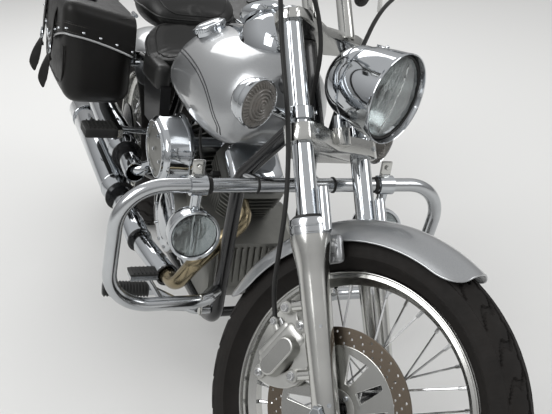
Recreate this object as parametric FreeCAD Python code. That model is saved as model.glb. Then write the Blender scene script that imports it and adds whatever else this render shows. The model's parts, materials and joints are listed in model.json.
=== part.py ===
import FreeCAD, Part
import os
from math import acos, atan2, cos, degrees, pi, radians, sin, sqrt, tan

V = FreeCAD.Vector
Rotation = FreeCAD.Rotation
Placement = FreeCAD.Placement
UP = V(0, 0, 1)
LEFT = V(0, 1, 0)
AHEAD = V(1, 0, 0)

# Driving dimensions in millimetres and degrees.
# The bike is drawn upright and straight ahead: x forward from the rear axle, y to its left, z up from the
# ground. Pieces of the fork are drawn about the steering axis: x square to it and forward, z up along it.
WHEELBASE = 1610.0
RAKE = 34.0
FORK_OFFSET = 48.0
STEER_STOP = 34.0
LEAN = 10.0
RUNNING_GAP = 0.3
SEAT_GAP = 0.2

FRONT_TYRE_RING = 281.0
FRONT_TYRE_TUBE = 50.0
FRONT_FLANGE_R = 252.0
FRONT_RIM_HALF = 33.0
REAR_TYRE_RING = 241.0
REAR_TYRE_TUBE = 85.0
REAR_FLANGE_R = 203.0
REAR_RIM_HALF = 58.0
CROWN_STEPS = 3
AXLE_R = 9.5

LEG_HALF_SPACING = 112.0
LEG_TUBE_R = 20.5
SLIDER_LOW_R = 25.0
SLIDER_TOP_R = 29.0
SLIDER_TOP = 328.0
LOWER_CLAMP = 505.0
UPPER_CLAMP = 735.0
CLAMP_HEIGHT = 34.0
STEM_R = 15.0
BAR_R = 12.7
BAR_AHEAD = 68.0
BAR_UP = 855.0
# Left half of the handlebar from its middle, each point from the bar's centre.
BAR_ROUTE = ((0, 0, 0), (0, 100, 0), (-20, 200, 60), (-165, 405, 22))
GRIP_LENGTH = 118.0
MIRROR_BOSS = 6.0
CABLE_REACH = 42.0
DISC_R = 149.0
DISC_Y = LEG_HALF_SPACING - 36.0
DISC_THICK = 5.0
FRONT_HUB_HALF = DISC_Y - 14.0

CALIPER_LUGS = (66.0, 190.0)
CALIPER_BACK = 60.0

HEADLIGHT_R = 90.0
HEADLIGHT_FOOT = 70.0
HEADLIGHT_BOSS = 530.0
HEADLIGHT_AHEAD = 147.0
HEADLIGHT_UP = 562.0
SIGNAL_R = 50.0
SIGNAL_Y = 233.0
SIGNAL_UP = 543.0
# Tail lamp and the bar of the rear turn signals, by their angles round the rear wheel from upright.
TAIL_LAMP_ANGLE = 62.0
REAR_BAR_ANGLE = 48.5
REAR_BAR_LIFT = 12.0
SPOT_R = 54.0
SPOT_Y = 212.0

GUARD_TUBE_R = 15.0
GUARD_X = 1240.0
GUARD_TOP = 625.0
GUARD_HALF = 368.0
GUARD_LOW_X = 1188.0
GUARD_LOW = 328.0
GUARD_BEND = 95.0

FRAME_TUBE_R = 16.0
CRADLE_Y = 92.0
BACKBONE_R = 26.0
BACKBONE_TOP = (-17.3, 643.5)
BACKBONE_END = (640, 0, 700)
DOWN_TUBE_TOP = (-12.0, 564.0)
RAIL_Y = 128.0
PEG_LUG_Y = 104.0
COVER_Y = 108.0
REAR_COVER_R = 352.0
REAR_COVER_WALL = 3.5
CRANK_X = 840.0
CRANK_Z = 350.0
CYLINDER_TILT = 35.0
BARREL_HALF = 72.0
HEAD_HALF = 78.0
PORT_HEIGHT = 235.0
BARREL_BASE = 95.0
BARREL_TOP = 205.0
HEAD_TOP = 262.0
COVER_TOP = 300.0
FIN_PITCH = 11.0
FIN_THICK = 3.0

BAG_INNER_Y = 166.0
BAG_OUTER_Y = 360.0
BAG_BACK = -20.0
BAG_FRONT = 400.0
BAG_LOW = 530.0
BAG_TOP = 790.0
BAG_WALL = 5.0
LID_SKIRT = 95.0
HINGE_Y = BAG_INNER_Y - 7.0
HINGE_Z = BAG_TOP - 6.0
HINGE_R = 5.0
HINGE_PIN_R = 2.5
HINGE_HALF = 12.0
HINGE_PLACES = (60.0, 320.0)

MUFFLER_R = 42.0
PIPE_R = 19.0
STAND_PIVOT = V(905.0, 132.0, 205.0)
STAND_HALF = 13.0
STAND_PIN_R = 6.0
STAND_FOOT = (985.0, 320.0)
STAND_BACK = V(-0.985, 0.03, -0.06)


def bar(a, b, r):
    """Round bar between two points."""
    a, b = V(*a), V(*b)
    return Part.makeCylinder(r, (b - a).Length, a, b - a)


def taper(a, b, ra, rb):
    """Round bar between two points whose radius changes from ra to rb."""
    a, b = V(*a), V(*b)
    return Part.makeCone(ra, rb, (b - a).Length, a, b - a)


def block(low, high):
    """Box between its lowest and highest corners."""
    low, high = V(*low), V(*high)
    size = high - low
    return Part.makeBox(size.x, size.y, size.z, low)


def fuse(shapes):
    """One solid from pieces that run into each other."""
    shapes = list(shapes)
    if len(shapes) == 1:
        return shapes[0]
    return shapes[0].multiFuse(shapes[1:]).removeSplitter()


def both_sides(shape):
    """The shape and its mirror image on the other side, as two solids."""
    return Part.makeCompound([shape, shape.mirror(V(0, 0, 0), LEFT)])


def outline(points):
    """Closed wire through points; a point given as ("arc", through, end) is a circular arc."""
    start = V(*points[0])
    here = start
    edges = []
    for point in points[1:]:
        if point[0] == "arc":
            through, end = V(*point[1]), V(*point[2])
            edges.append(Part.Arc(here, through, end).toShape())
        else:
            end = V(*point)
            edges.append(Part.LineSegment(here, end).toShape())
        here = end
    if (here - start).Length > 1e-6:
        edges.append(Part.LineSegment(here, start).toShape())
    return Part.Wire(edges)


def turned(points, centre, axis, angle=360.0):
    """Solid of revolution of a closed outline about an axis."""
    return Part.Face(outline(points)).revolve(V(*centre), axis, angle)


def prism(points, along):
    """Straight solid from a closed outline."""
    return Part.Face(outline(points)).extrude(V(*along))


def bent_tube(points, r, bend):
    """Tube along straight runs that are joined by tangent arcs of the given bend radius."""
    points = [V(*p) for p in points]
    pieces = []
    here = points[0]
    for i in range(1, len(points) - 1):
        before = (points[i] - points[i - 1]).normalize()
        after = (points[i + 1] - points[i]).normalize()
        turn = acos(max(-1.0, min(1.0, before.dot(after))))
        shorter = min((points[i] - points[i - 1]).Length, (points[i + 1] - points[i]).Length)
        radius = min(bend, 0.47 * shorter / tan(turn / 2))
        reach = radius * tan(turn / 2)
        start = points[i] - before * reach
        axis = before.cross(after).normalize()
        centre = start + axis.cross(before) * radius
        pieces.append(Part.makeCylinder(r, (start - here).Length, here, before))
        ring = Part.Face(Part.Wire(Part.makeCircle(r, start, before)))
        pieces.append(ring.revolve(centre, axis, degrees(turn)))
        here = points[i] + after * reach
    last = points[-1]
    pieces.append(Part.makeCylinder(r, (last - here).Length, here, last - here))
    return fuse(pieces)


# Places that several pieces share.
FRONT_TYRE_R = FRONT_TYRE_RING + FRONT_TYRE_TUBE
REAR_TYRE_R = REAR_TYRE_RING + REAR_TYRE_TUBE
SIN_RAKE = sin(radians(RAKE))
COS_RAKE = cos(radians(RAKE))
STEER_UP = V(-SIN_RAKE, 0, COS_RAKE)
STEER_AHEAD = V(COS_RAKE, 0, SIN_RAKE)
FRONT_AXLE = V(WHEELBASE, 0, FRONT_TYRE_R)
REAR_AXLE = V(0, 0, REAR_TYRE_R)
STEER_FOOT = FRONT_AXLE - STEER_AHEAD * FORK_OFFSET
FORK = Placement(STEER_FOOT, Rotation(LEFT, -RAKE))


def on_fork(shape):
    """Moves a piece drawn about the steering axis to its place on the upright bike."""
    moved = shape.copy()
    moved.Placement = FORK.multiply(moved.Placement)
    return moved


def steer_point(ahead, side, up):
    """Point of the upright bike from its place about the steering axis."""
    return FORK.multVec(V(ahead, side, up))


def crown(ring, tube):
    """Outer half-round of a tyre's section as (radius, side) points, from one shoulder to the other."""
    return [(ring + tube * cos(t), tube * sin(t)) for t in (radians(95) * k / CROWN_STEPS for k in
            range(-CROWN_STEPS, CROWN_STEPS + 1))]


def tyre_low(place, axle, ring, tube):
    """Height of a tyre's lowest point where a placement puts it."""
    tilt = abs(place.Rotation.multVec(LEFT).z)
    reach = max(r * sqrt(1 - tilt ** 2) + side * tilt for r, side in crown(ring, tube))
    return place.multVec(axle).z - reach


def stance():
    """Placements of the main body and of the turned fork as the bike stands on its tyres."""
    steer = Placement(V(0, 0, 0), Rotation(STEER_UP, STEER_STOP), STEER_FOOT)
    main = Placement(V(0, 0, 0), Rotation(AHEAD, -LEAN))
    for step in range(5):
        front = main.multiply(steer)
        front_low = tyre_low(front, FRONT_AXLE, FRONT_TYRE_RING, FRONT_TYRE_TUBE)
        rear_low = tyre_low(main, REAR_AXLE, REAR_TYRE_RING, REAR_TYRE_TUBE)
        reach = front.multVec(FRONT_AXLE).x - main.multVec(REAR_AXLE).x
        level = Placement(V(0, 0, 0), Rotation(LEFT, degrees(atan2(front_low - rear_low, reach))))
        main = level.multiply(main)
    drop = tyre_low(main, REAR_AXLE, REAR_TYRE_RING, REAR_TYRE_TUBE)
    main = Placement(V(0, 0, -drop), Rotation()).multiply(main)
    return main, main.multiply(steer)


MAIN, TURNED = stance()


def wheel(axle, flange_r, half, hub_flange_r, hub_half, spokes):
    """Laced wheel in one piece: drop-centre rim, hub with two flanges and straight crossed spokes."""
    seat_r = flange_r - 9.0
    well_r = seat_r - 15.0
    lip = 5.0
    skin = 3.0
    profile = [(flange_r, -half, 0), (flange_r, -half + lip, 0), (seat_r, -half + lip, 0),
               (seat_r, -half + 18, 0), (well_r, -half + 24, 0), (well_r, half - 24, 0),
               (seat_r, half - 18, 0), (seat_r, half - lip, 0), (flange_r, half - lip, 0),
               (flange_r, half, 0), (seat_r - skin, half, 0), (seat_r - skin, half - 18, 0),
               (well_r - skin, half - 25, 0), (well_r - skin, -half + 25, 0),
               (seat_r - skin, -half + 18, 0), (seat_r - skin, -half, 0)]
    rim = turned(profile, (0, 0, 0), LEFT)
    bore = AXLE_R + RUNNING_GAP
    web = 5.0
    flange_y = hub_half - 18.0
    barrel = hub_flange_r - 14.0
    hub = turned([(bore, -hub_half, 0), (barrel, -hub_half, 0), (barrel, -flange_y - web, 0),
                  (hub_flange_r, -flange_y - web, 0), (hub_flange_r, -flange_y, 0), (barrel, -flange_y, 0),
                  (barrel, flange_y, 0), (hub_flange_r, flange_y, 0), (hub_flange_r, flange_y + web, 0),
                  (barrel, flange_y + web, 0), (barrel, hub_half, 0), (bore, hub_half, 0)], (0, 0, 0), LEFT)
    pieces = [rim, hub]
    step = 2 * pi / spokes
    for i in range(spokes):
        side = 1 if i % 2 else -1
        sweep = radians(52) if (i // 2) % 2 else -radians(52)
        inner = i * step + sweep
        a = V((hub_flange_r - 5) * cos(inner), side * (flange_y + web / 2), (hub_flange_r - 5) * sin(inner))
        b = V((well_r - 1) * cos(i * step), side * 5.0, (well_r - 1) * sin(i * step))
        pieces.append(spoke(a, b, 2.2))
    whole = fuse(pieces)
    whole.translate(axle)
    return whole


def spoke(a, b, r):
    """Four-sided bar, so that many spokes need few faces."""
    along = (b - a).normalize()
    side = along.cross(LEFT).normalize()
    other = along.cross(side)
    corners = [tuple(a + side * (r * cos(k * pi / 2)) + other * (r * sin(k * pi / 2))) for k in range(4)]
    return prism(corners, tuple(b - a))


def tyre(axle, ring, tube, flange_r, half):
    """Hollow tyre section turned about the axle, its beads inside the rim's flanges."""
    bead_y = half - 5.0 - SEAT_GAP
    bead_r = flange_r - 9.0 + SEAT_GAP
    foot_r = flange_r + 1.2
    wall = 10.0
    inside = tube - wall
    profile = [(bead_r, -bead_y, 0), (foot_r, -bead_y, 0)]
    profile += [(r, y, 0) for r, y in crown(ring, tube)]
    profile += [(foot_r, bead_y, 0), (bead_r, bead_y, 0), (bead_r, bead_y - wall, 0), (ring, inside, 0),
                (ring + inside, 0, 0), (ring, -inside, 0), (bead_r, wall - bead_y, 0)]
    whole = turned(profile, (0, 0, 0), LEFT)
    whole.translate(axle)
    return whole


def brake_disc():
    """Brake disc ring on a carrier with five arms, bolted against the hub's right end."""
    low = -DISC_Y - DISC_THICK / 2
    ring = Part.makeCylinder(DISC_R, DISC_THICK, V(0, low, 0), LEFT)
    ring = ring.cut(Part.makeCylinder(112, DISC_THICK, V(0, low, 0), LEFT))
    boss = Part.makeCylinder(40, -FRONT_HUB_HALF - SEAT_GAP - low, V(0, low, 0), LEFT)
    arms = []
    for k in range(5):
        a = 2 * pi * k / 5
        arm = prism([(30, low, -20), (116, low, -9), (116, low, 9), (30, low, 20)], (0, DISC_THICK, 0))
        arm.rotate(V(0, 0, 0), LEFT, degrees(a))
        arms.append(arm)
    whole = fuse([ring, boss] + arms).cut(Part.makeCylinder(AXLE_R + 6, 60, V(0, low - 5, 0), LEFT))
    whole.translate(V(FORK_OFFSET, 0, 0))
    return on_fork(whole)


def fork_sliders():
    """Cast lower legs with their collars, tube guards and caliper lugs, joined by the wheel's axle."""
    pieces = []
    f = FORK_OFFSET
    for side in (-1, 1):
        y = side * LEG_HALF_SPACING
        leg = turned([(0, 0, -38), (SLIDER_LOW_R - 3, 0, -38), (SLIDER_LOW_R, 0, -32), (SLIDER_LOW_R, 0, 60),
                      (SLIDER_TOP_R, 0, 240), (SLIDER_TOP_R, 0, 286), (33, 0, 292), (33, 0, SLIDER_TOP - 4),
                      (30, 0, SLIDER_TOP), (0, 0, SLIDER_TOP)], (0, 0, 0), UP)
        leg.translate(V(f, y, 0))
        pieces.append(leg)
        guard_x = f + 37
        pieces.append(bar((guard_x, y, 262), (guard_x, y, 412), 14))
        pieces.append(block((f, y - 11, 272), (guard_x, y + 11, SLIDER_TOP - 8)))
    pieces.append(bar((f, -LEG_HALF_SPACING - 30, 0), (f, LEG_HALF_SPACING + 30, 0), AXLE_R))
    for up in CALIPER_LUGS:
        pieces.append(bar((f, -LEG_HALF_SPACING, up), (f - CALIPER_BACK, -LEG_HALF_SPACING, up), 10))
    return on_fork(fuse(pieces))


def fork_tubes():
    """Two chromed stanchions from the sliders up through both clamps."""
    tube = bar((FORK_OFFSET, -LEG_HALF_SPACING, SLIDER_TOP + SEAT_GAP),
               (FORK_OFFSET, -LEG_HALF_SPACING, UPPER_CLAMP + 14), LEG_TUBE_R)
    return on_fork(both_sides(tube))


def clamp_plate(up, height, grip_r):
    """Fork clamp: an eye round each stanchion and a waisted bridge to the stem."""
    low = up - height / 2
    f = FORK_OFFSET
    y = LEG_HALF_SPACING
    bridge = prism([(-36, -32, low), (f - 24, -y - 22, low), (f + 30, -y - 18, low), (f + 34, -y + 20, low),
                    (f + 14, 0, low), (f + 34, y - 20, low), (f + 30, y + 18, low), (f - 24, y + 22, low),
                    (-36, 32, low)], (0, 0, height))
    eyes = [Part.makeCylinder(grip_r, height, V(f, s * y, low)) for s in (-1, 1)]
    whole = fuse([bridge] + eyes)
    holes = [Part.makeCylinder(LEG_TUBE_R + SEAT_GAP, height, V(f, s * y, low)) for s in (-1, 1)]
    return whole.cut(Part.makeCompound(holes))


def lower_clamp():
    """Lower clamp with the steering stem and the boss that carries the headlight."""
    plate = clamp_plate(LOWER_CLAMP, CLAMP_HEIGHT, 33)
    stem = bar((0, 0, LOWER_CLAMP), (0, 0, UPPER_CLAMP - 10 - SEAT_GAP), STEM_R)
    boss = bar((HEADLIGHT_FOOT, 0, LOWER_CLAMP - 8), (HEADLIGHT_FOOT, 0, HEADLIGHT_BOSS), 18)
    return on_fork(fuse([plate, stem, boss]))


def upper_clamp():
    """Upper clamp with the stem's nut and the two handlebar risers."""
    height = 20.0
    plate = clamp_plate(UPPER_CLAMP, height, 30)
    nut = bar((0, 0, UPPER_CLAMP), (0, 0, UPPER_CLAMP + 24), 17)
    risers = [bar((BAR_AHEAD, s * 70, UPPER_CLAMP), (BAR_AHEAD, s * 70, BAR_UP + 7), 16) for s in (-1, 1)]
    whole = fuse([plate, nut] + risers)
    grip = bar((BAR_AHEAD, -100, BAR_UP), (BAR_AHEAD, 100, BAR_UP), BAR_R + SEAT_GAP)
    return on_fork(whole.cut(grip))


def bar_points():
    """Left half of the handlebar's route, from its middle to its end."""
    centre = steer_point(BAR_AHEAD, 0, BAR_UP)
    return [centre + V(x, y, z) for x, y, z in BAR_ROUTE]


def handlebar():
    """Pulled-back handlebar held in the risers."""
    half = [tuple(p) for p in bar_points()]
    right = [(x, -y, z) for x, y, z in reversed(half[1:])]
    return bent_tube(right + half[1:], BAR_R, 60)


def bar_end():
    """Outer end of the left handgrip, the way it points, and the ways ahead and up square to it."""
    points = bar_points()
    way = (points[-1] - points[-2]).normalize()
    ahead = way.cross(UP).normalize()
    return points[-1], way, ahead, ahead.cross(way).normalize()


def grips():
    """Rubber handgrips, closed at the end."""
    end, way, ahead, up = bar_end()
    start = end - way * GRIP_LENGTH
    sleeve = Part.makeCylinder(17, GRIP_LENGTH + 6, start, way)
    return both_sides(sleeve.cut(Part.makeCylinder(BAR_R + SEAT_GAP, GRIP_LENGTH + SEAT_GAP, start, way)))


def control_levers():
    """Perches with switch boxes and levers on both sides, and the brake fluid box on the right one."""
    end, way, ahead, up = bar_end()
    perch_root = end - way * (GRIP_LENGTH + 34)
    switch_root = end - way * (GRIP_LENGTH + 72)
    bore = Part.makeCylinder(BAR_R + SEAT_GAP, 120, switch_root - way * 20, way)
    sides = []
    for side in (-1, 1):
        knuckle = perch_root + way * 15 + ahead * 36
        tip = knuckle + way * 172 + ahead * 20
        bend = knuckle + way * 60 + ahead * 4
        lever = prism([tuple(knuckle + ahead * 6), tuple(bend + ahead * 5), tuple(tip + ahead * 5),
                       tuple(tip - ahead * 5), tuple(bend - ahead * 5), tuple(knuckle - ahead * 8)], tuple(up * 9))
        pieces = [Part.makeCylinder(19, 34, perch_root, way), Part.makeCylinder(23, 38, switch_root, way),
                  Part.makeCylinder(11, 42, perch_root + way * 15, ahead), lever.translated(up * -4.5),
                  Part.makeCylinder(8, 19 + MIRROR_BOSS, perch_root + way * 20, up),
                  Part.makeCylinder(6.5, CABLE_REACH, perch_root + way * 8, (ahead - way).normalize())]
        if side < 0:
            box = Part.makeBox(52, 36, 24, V(-26, -18, 0))
            box.Placement = Placement(perch_root + way * 2 + ahead * 40 + up * 8, Rotation(way, ahead, up, "ZXY"))
            pieces.append(box)
        whole = fuse(pieces).cut(bore)
        sides.append(whole if side > 0 else whole.mirror(V(0, 0, 0), LEFT))
    return Part.makeCompound(sides)


def mirrors():
    """Round-cornered mirrors on curved stems that stand on the lever perches."""
    end, way, ahead, up = bar_end()
    root = end - way * (GRIP_LENGTH + 14)
    foot = root + up * (19 + MIRROR_BOSS + SEAT_GAP)
    head = foot + V(14, 46, 112)
    stem = bent_tube([tuple(foot), tuple(foot + up * 42), tuple(head)], 5.5, 40)
    glass = prism([(-62, 0, -30), (50, 0, -34), ("arc", (66, 0, 0), (50, 0, 34)), (-44, 0, 34),
                   ("arc", (-66, 0, 6), (-62, 0, -30))], (0, 16, 0))
    glass.rotate(V(0, 0, 0), UP, 90)
    glass.translate(head + V(8, 14, 18))
    return both_sides(fuse([stem, glass]))


def round_lamp(centre, way, r, depth, neck):
    """Bowl and lens of a round lamp that looks along way; the lens stands in the bowl's rim."""
    lip = 4.0
    shoulder = 10.0
    steps = 5
    quarter = [k * pi / 2 / steps for k in range(steps + 1)]
    curve = [(-shoulder - (depth - shoulder) * cos(t), neck + (r - neck) * sin(t), 0) for t in quarter]
    bowl = turned([(-depth, 0, 0)] + curve + [(6, r, 0), (6, r - lip, 0), (-4, r - lip, 0), (-4, 0, 0)],
                  (0, 0, 0), AHEAD)
    rim = r - lip - SEAT_GAP
    face = [(2 + 9 * sin(t), rim * cos(t), 0) for t in quarter[0:steps:2]]
    lens = turned([(-4 + SEAT_GAP, 0, 0), (-4 + SEAT_GAP, rim, 0)] + face + [(face[-1][0], 0, 0)], (0, 0, 0), AHEAD)
    place = Placement(V(*centre), Rotation(AHEAD, V(*way)))
    for shape in (bowl, lens):
        shape.Placement = place
    return bowl, lens


def headlight():
    """Headlight shell with the foot that stands on the lower clamp's boss, and its lens."""
    centre = steer_point(FORK_OFFSET + HEADLIGHT_AHEAD, 0, HEADLIGHT_UP)
    bowl, lens = round_lamp(tuple(centre), (1, 0, 0), HEADLIGHT_R, 150, 30)
    foot = on_fork(bar((HEADLIGHT_FOOT, 0, HEADLIGHT_BOSS + SEAT_GAP), (HEADLIGHT_FOOT, 0, HEADLIGHT_UP + 20), 14))
    return fuse([bowl, foot]), lens


def front_signals():
    """Round turn signals on stalks that are clamped round the stanchions above the lower clamp."""
    bowls = []
    lenses = []
    place = steer_point(FORK_OFFSET - 10, 0, SIGNAL_UP)
    for side in (-1, 1):
        y = side * SIGNAL_Y
        bowl, lens = round_lamp((place.x, y, place.z), (1, 0, 0), SIGNAL_R, 44, 18)
        collar = Part.makeCylinder(28, 26, V(FORK_OFFSET, side * LEG_HALF_SPACING, SIGNAL_UP - 13))
        stalk = bar((FORK_OFFSET - 18, side * (LEG_HALF_SPACING + 12), SIGNAL_UP),
                    (FORK_OFFSET - 24, side * (SIGNAL_Y - 34), SIGNAL_UP + 6), 10)
        tube = Part.makeCylinder(LEG_TUBE_R + SEAT_GAP, 60, V(FORK_OFFSET, side * LEG_HALF_SPACING, SIGNAL_UP - 30))
        bowls.append(fuse([bowl, on_fork(fuse([collar, stalk]).cut(tube))]))
        lenses.append(lens)
    return Part.makeCompound(bowls), Part.makeCompound(lenses)


def fender_shell(axle, inner_r, half, skirt, wall, front, rear):
    """Crowned wheel cover: an arched section turned about the axle from front to rear, angles from the top."""
    edge_r = inner_r - skirt
    profile = [(edge_r, -half, 0), ("arc", (inner_r, 0, 0), (edge_r, half, 0)), (edge_r, half + wall, 0),
               ("arc", (inner_r + wall, 0, 0), (edge_r, -half - wall, 0))]
    shell = turned(profile, (0, 0, 0), LEFT, front + rear)
    shell.rotate(V(0, 0, 0), LEFT, -90 - rear)
    shell.translate(axle)
    return shell


def front_fender():
    """Short front wheel cover with a bracket plate on each slider."""
    inner_r = 347.0
    half = 58.0
    shell = fender_shell(FRONT_AXLE, inner_r, half, 40, 3.5, 18, 80)
    plates = []
    edge = LEG_HALF_SPACING - 28
    for side in (-1, 1):
        low = min(side * half, side * edge)
        plate = block((FORK_OFFSET - 40, low, 262), (FORK_OFFSET + 44, low + edge - half, 316))
        plates.append(on_fork(plate))
    room = half - 1
    tyre_room = Part.makeCylinder(inner_r - 1, 2 * room, V(WHEELBASE, -room, FRONT_TYRE_R), LEFT)
    legs = [on_fork(bar((FORK_OFFSET, s * LEG_HALF_SPACING, 200), (FORK_OFFSET, s * LEG_HALF_SPACING, 340), 33.3))
            for s in (-1, 1)]
    plates = [p.cut(Part.makeCompound([tyre_room] + legs)) for p in plates]
    return fuse([shell] + plates)


def brake_caliper():
    """Brake caliper behind the right leg, slotted for the disc and bolted to the leg's lugs."""
    seat = -CALIPER_BACK - SEAT_GAP
    y = LEG_HALF_SPACING
    body = block((-118, -DISC_Y - 40, 78), (-70, -DISC_Y + 26, 172))
    nose = bar((-94, -DISC_Y - 52, 126), (-94, -DISC_Y - 38, 126), 24)
    ears = [block((-80, -y - 8, up - 12), (seat, -y + 8, up + 12)) for up in CALIPER_LUGS]
    arm = block((-86, -y - 8, CALIPER_LUGS[0] - 12), (-70, -y + 8, CALIPER_LUGS[1] + 12))
    whole = fuse([body, nose, arm] + ears)
    slot = Part.makeCylinder(DISC_R + 6, DISC_THICK + 10, V(0, -DISC_Y - DISC_THICK / 2 - 5, 0), LEFT)
    whole = whole.cut(slot)
    whole.translate(V(FORK_OFFSET, 0, 0))
    return on_fork(whole)


def cables():
    """Brake hose down the right leg, clutch and throttle cables from the bar into the steering head."""
    f = FORK_OFFSET
    end, way, ahead, up = bar_end()
    out = (ahead - way).normalize()
    start = end - way * (GRIP_LENGTH + 26) + out * (CABLE_REACH + SEAT_GAP)
    inverse = FORK.inverse()
    left = inverse.multVec(start)
    left_on = inverse.multVec(start + out * 60)
    right = V(left.x, -left.y, left.z)
    right_on = V(left_on.x, -left_on.y, left_on.z)
    leg = LEG_HALF_SPACING
    inlet = -DISC_Y - 24
    hose = [tuple(right), tuple(right_on), (f + 24, -leg - 66, 780), (f + 2, -leg - 46, 670),
            (f + 2, -leg - 43, 520), (f - 20, -leg - 37, 380), (f - 66, -leg - 18, 270),
            (f - 100, inlet, 220), (f - 100, inlet, 172 + SEAT_GAP)]
    clutch = [tuple(left), tuple(left_on), (f + 70, leg + 18, 800), (f + 44, leg - 48, 690),
              (f - 4, leg - 64, 600), (f - 30, leg - 66, 540)]
    down = (ahead - up).normalize()
    switch = end - way * (GRIP_LENGTH + 53) + down * (23 + SEAT_GAP)
    box = inverse.multVec(switch)
    box_on = inverse.multVec(switch + down * 50)
    throttle = [(box.x, -box.y, box.z), (box_on.x, -box_on.y, box_on.z), (f + 50, 2 - leg, 800),
                (f + 36, 52 - leg, 690), (f - 4, 64 - leg, 600), (f - 30, 66 - leg, 540)]
    return on_fork(Part.makeCompound([bent_tube(route, 4.5, 70) for route in (hose, clutch, throttle)]))


def backbone_top():
    """Upper end of the backbone's axis, behind the steering head's axis."""
    ahead, up = BACKBONE_TOP
    return tuple(steer_point(ahead, 0, up))


def frame():
    """Steering head, backbone, double cradle, seat rails and the lugs that other pieces are bolted to."""
    head_low = steer_point(0, 0, LOWER_CLAMP + CLAMP_HEIGHT / 2 + 2)
    head = Part.makeCylinder(30, UPPER_CLAMP - LOWER_CLAMP - CLAMP_HEIGHT / 2 - 14, head_low, STEER_UP)
    pieces = [head]
    pieces.append(bar(backbone_top(), BACKBONE_END, BACKBONE_R))
    for s in (-1, 1):
        top = steer_point(DOWN_TUBE_TOP[0], s * 14, DOWN_TUBE_TOP[1])
        pieces.append(bent_tube([tuple(top), (1128, s * 82, 600), (1112, s * CRADLE_Y, 240),
                                 (1050, s * CRADLE_Y, 216), (560, s * CRADLE_Y, 216), (512, s * CRADLE_Y, 420),
                                 (560, s * 60, 655), (660, 0, 704)], FRAME_TUBE_R, 80))
        pieces.append(bent_tube([(560, s * 60, 655), (380, s * 96, 650), (225, s * 106, 640)], 13, 60))
        pieces.append(bar((226, s * 100, 640), (226, s * (RAIL_Y - 4 - SEAT_GAP), 640), 14))
        pieces.append(bar((528, s * 81, 500), (528, s * (PEG_LUG_Y - SEAT_GAP), 500), 11))
    for x, z in ((1050, 216), (512, 420)):
        pieces.append(bar((x, -CRADLE_Y, z), (x, CRADLE_Y, z), 12))
    pieces.append(bar((236, -104, 640), (236, 104, 640), 9))
    whole = fuse(pieces)
    stem = Part.makeCylinder(STEM_R + RUNNING_GAP, 400, steer_point(0, 0, 420), STEER_UP)
    return fuse([whole.cut(stem), stand_bracket()])


def swingarm():
    """Rear fork with its pivot, the rear axle, the bevel drive on the left and the brake plate on the right."""
    pieces = [bar((585, -70, REAR_TYRE_R), (585, 70, REAR_TYRE_R), 20)]
    for s in (-1, 1):
        pieces.append(bent_tube([(585, s * 52, REAR_TYRE_R), (470, s * 56, REAR_TYRE_R), (350, s * 116, REAR_TYRE_R),
                                 (0, s * 118, REAR_TYRE_R)], 17, 60))
    pieces.append(bar((0, -142, REAR_TYRE_R), (0, 142, REAR_TYRE_R), AXLE_R))
    pieces.append(turned([(0, 76, 0), (80, 76, 0), (80, 104, 0), (54, 132, 0), (0, 138, 0)], (0, 0, 0), LEFT)
                  .translated(REAR_AXLE))
    pieces.append(turned([(0, -76, 0), (92, -76, 0), (92, -82, 0), (40, -96, 0), (0, -96, 0)], (0, 0, 0), LEFT)
                  .translated(REAR_AXLE))
    return fuse(pieces)


def rear_fender():
    """Deep rear wheel cover."""
    return fender_shell(REAR_AXLE, REAR_COVER_R, 98, 62, REAR_COVER_WALL, 46, 100)


def fender_rails():
    """Chrome struts along the rear fender with the arms that carry the bags."""
    pieces = []
    for s in (-1, 1):
        y = s * RAIL_Y
        low = y - 4
        pieces.append(prism([(236, low, 656), (236, low, 618), (-140, low, 560), ("arc", (-162, low, 575),
                                                                                     (-150, low, 596))], (0, 8, 0)))
        for x in (40, 170):
            z = 615.0
            pad_y = s * (BAG_INNER_Y - SEAT_GAP)
            pieces.append(bar((x, y, z), (x, pad_y, z), 9))
            pieces.append(Part.makeCylinder(20, 6, V(x, pad_y, z), V(0, -s, 0)))
            pieces.append(bar((x, y, 600), (x, s * 94, 600), 8))
    return fuse(pieces + [bar((190, -RAIL_Y, 636), (190, RAIL_Y, 636), 8)]).cut(rear_fender())


def tank_section(x, half, wide_z, top, low_half, low):
    """Egg-shaped cross-section of the tank at one place along it."""
    mid = ((half * 1.02 + low_half) / 2 + 0.16 * (half - low_half) + 6, (wide_z + low) / 2 - 4)
    return outline([(x, -low_half, low), ("arc", (x, -mid[0], mid[1]), (x, -half, wide_z)),
                    ("arc", (x, 0, top), (x, half, wide_z)), ("arc", (x, mid[0], mid[1]), (x, low_half, low))])


# Tank stations: x, half width, height of the widest line, top, half width of the underside, underside.
TANK = ((612, 96, 712, 776, 72, 684), (650, 124, 716, 812, 88, 664), (720, 144, 724, 846, 98, 652),
        (840, 152, 733, 868, 114, 646),
        (980, 149, 738, 874, 112, 645), (1075, 124, 748, 864, 90, 658), (1128, 74, 768, 832, 52, 700))


def tank_body():
    """Outer form of the tank, without its tunnel."""
    return Part.makeLoft([tank_section(*station) for station in TANK], True, False)


def fuel_tank():
    """Teardrop tank with the tunnel that clears the backbone and the rear uprights."""
    body = tank_body()
    room = BACKBONE_R + 4
    front, back = V(*backbone_top()), V(*BACKBONE_END)
    way = (front - back).normalize()
    ends = [front + way * 60, back - way * 90]
    tunnel = [bar(tuple(ends[0]), tuple(ends[1]), room),
              prism([(ends[0].x, -room, ends[0].z), (ends[1].x, -room, ends[1].z), (ends[1].x, -room, 560),
                     (ends[0].x, -room, 560)], (0, 2 * room, 0))]
    uprights = [bar((560, s * 60, 655), (660, 0, 704), FRAME_TUBE_R + 4) for s in (-1, 1)]
    return body.cut(fuse(tunnel + uprights))


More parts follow.
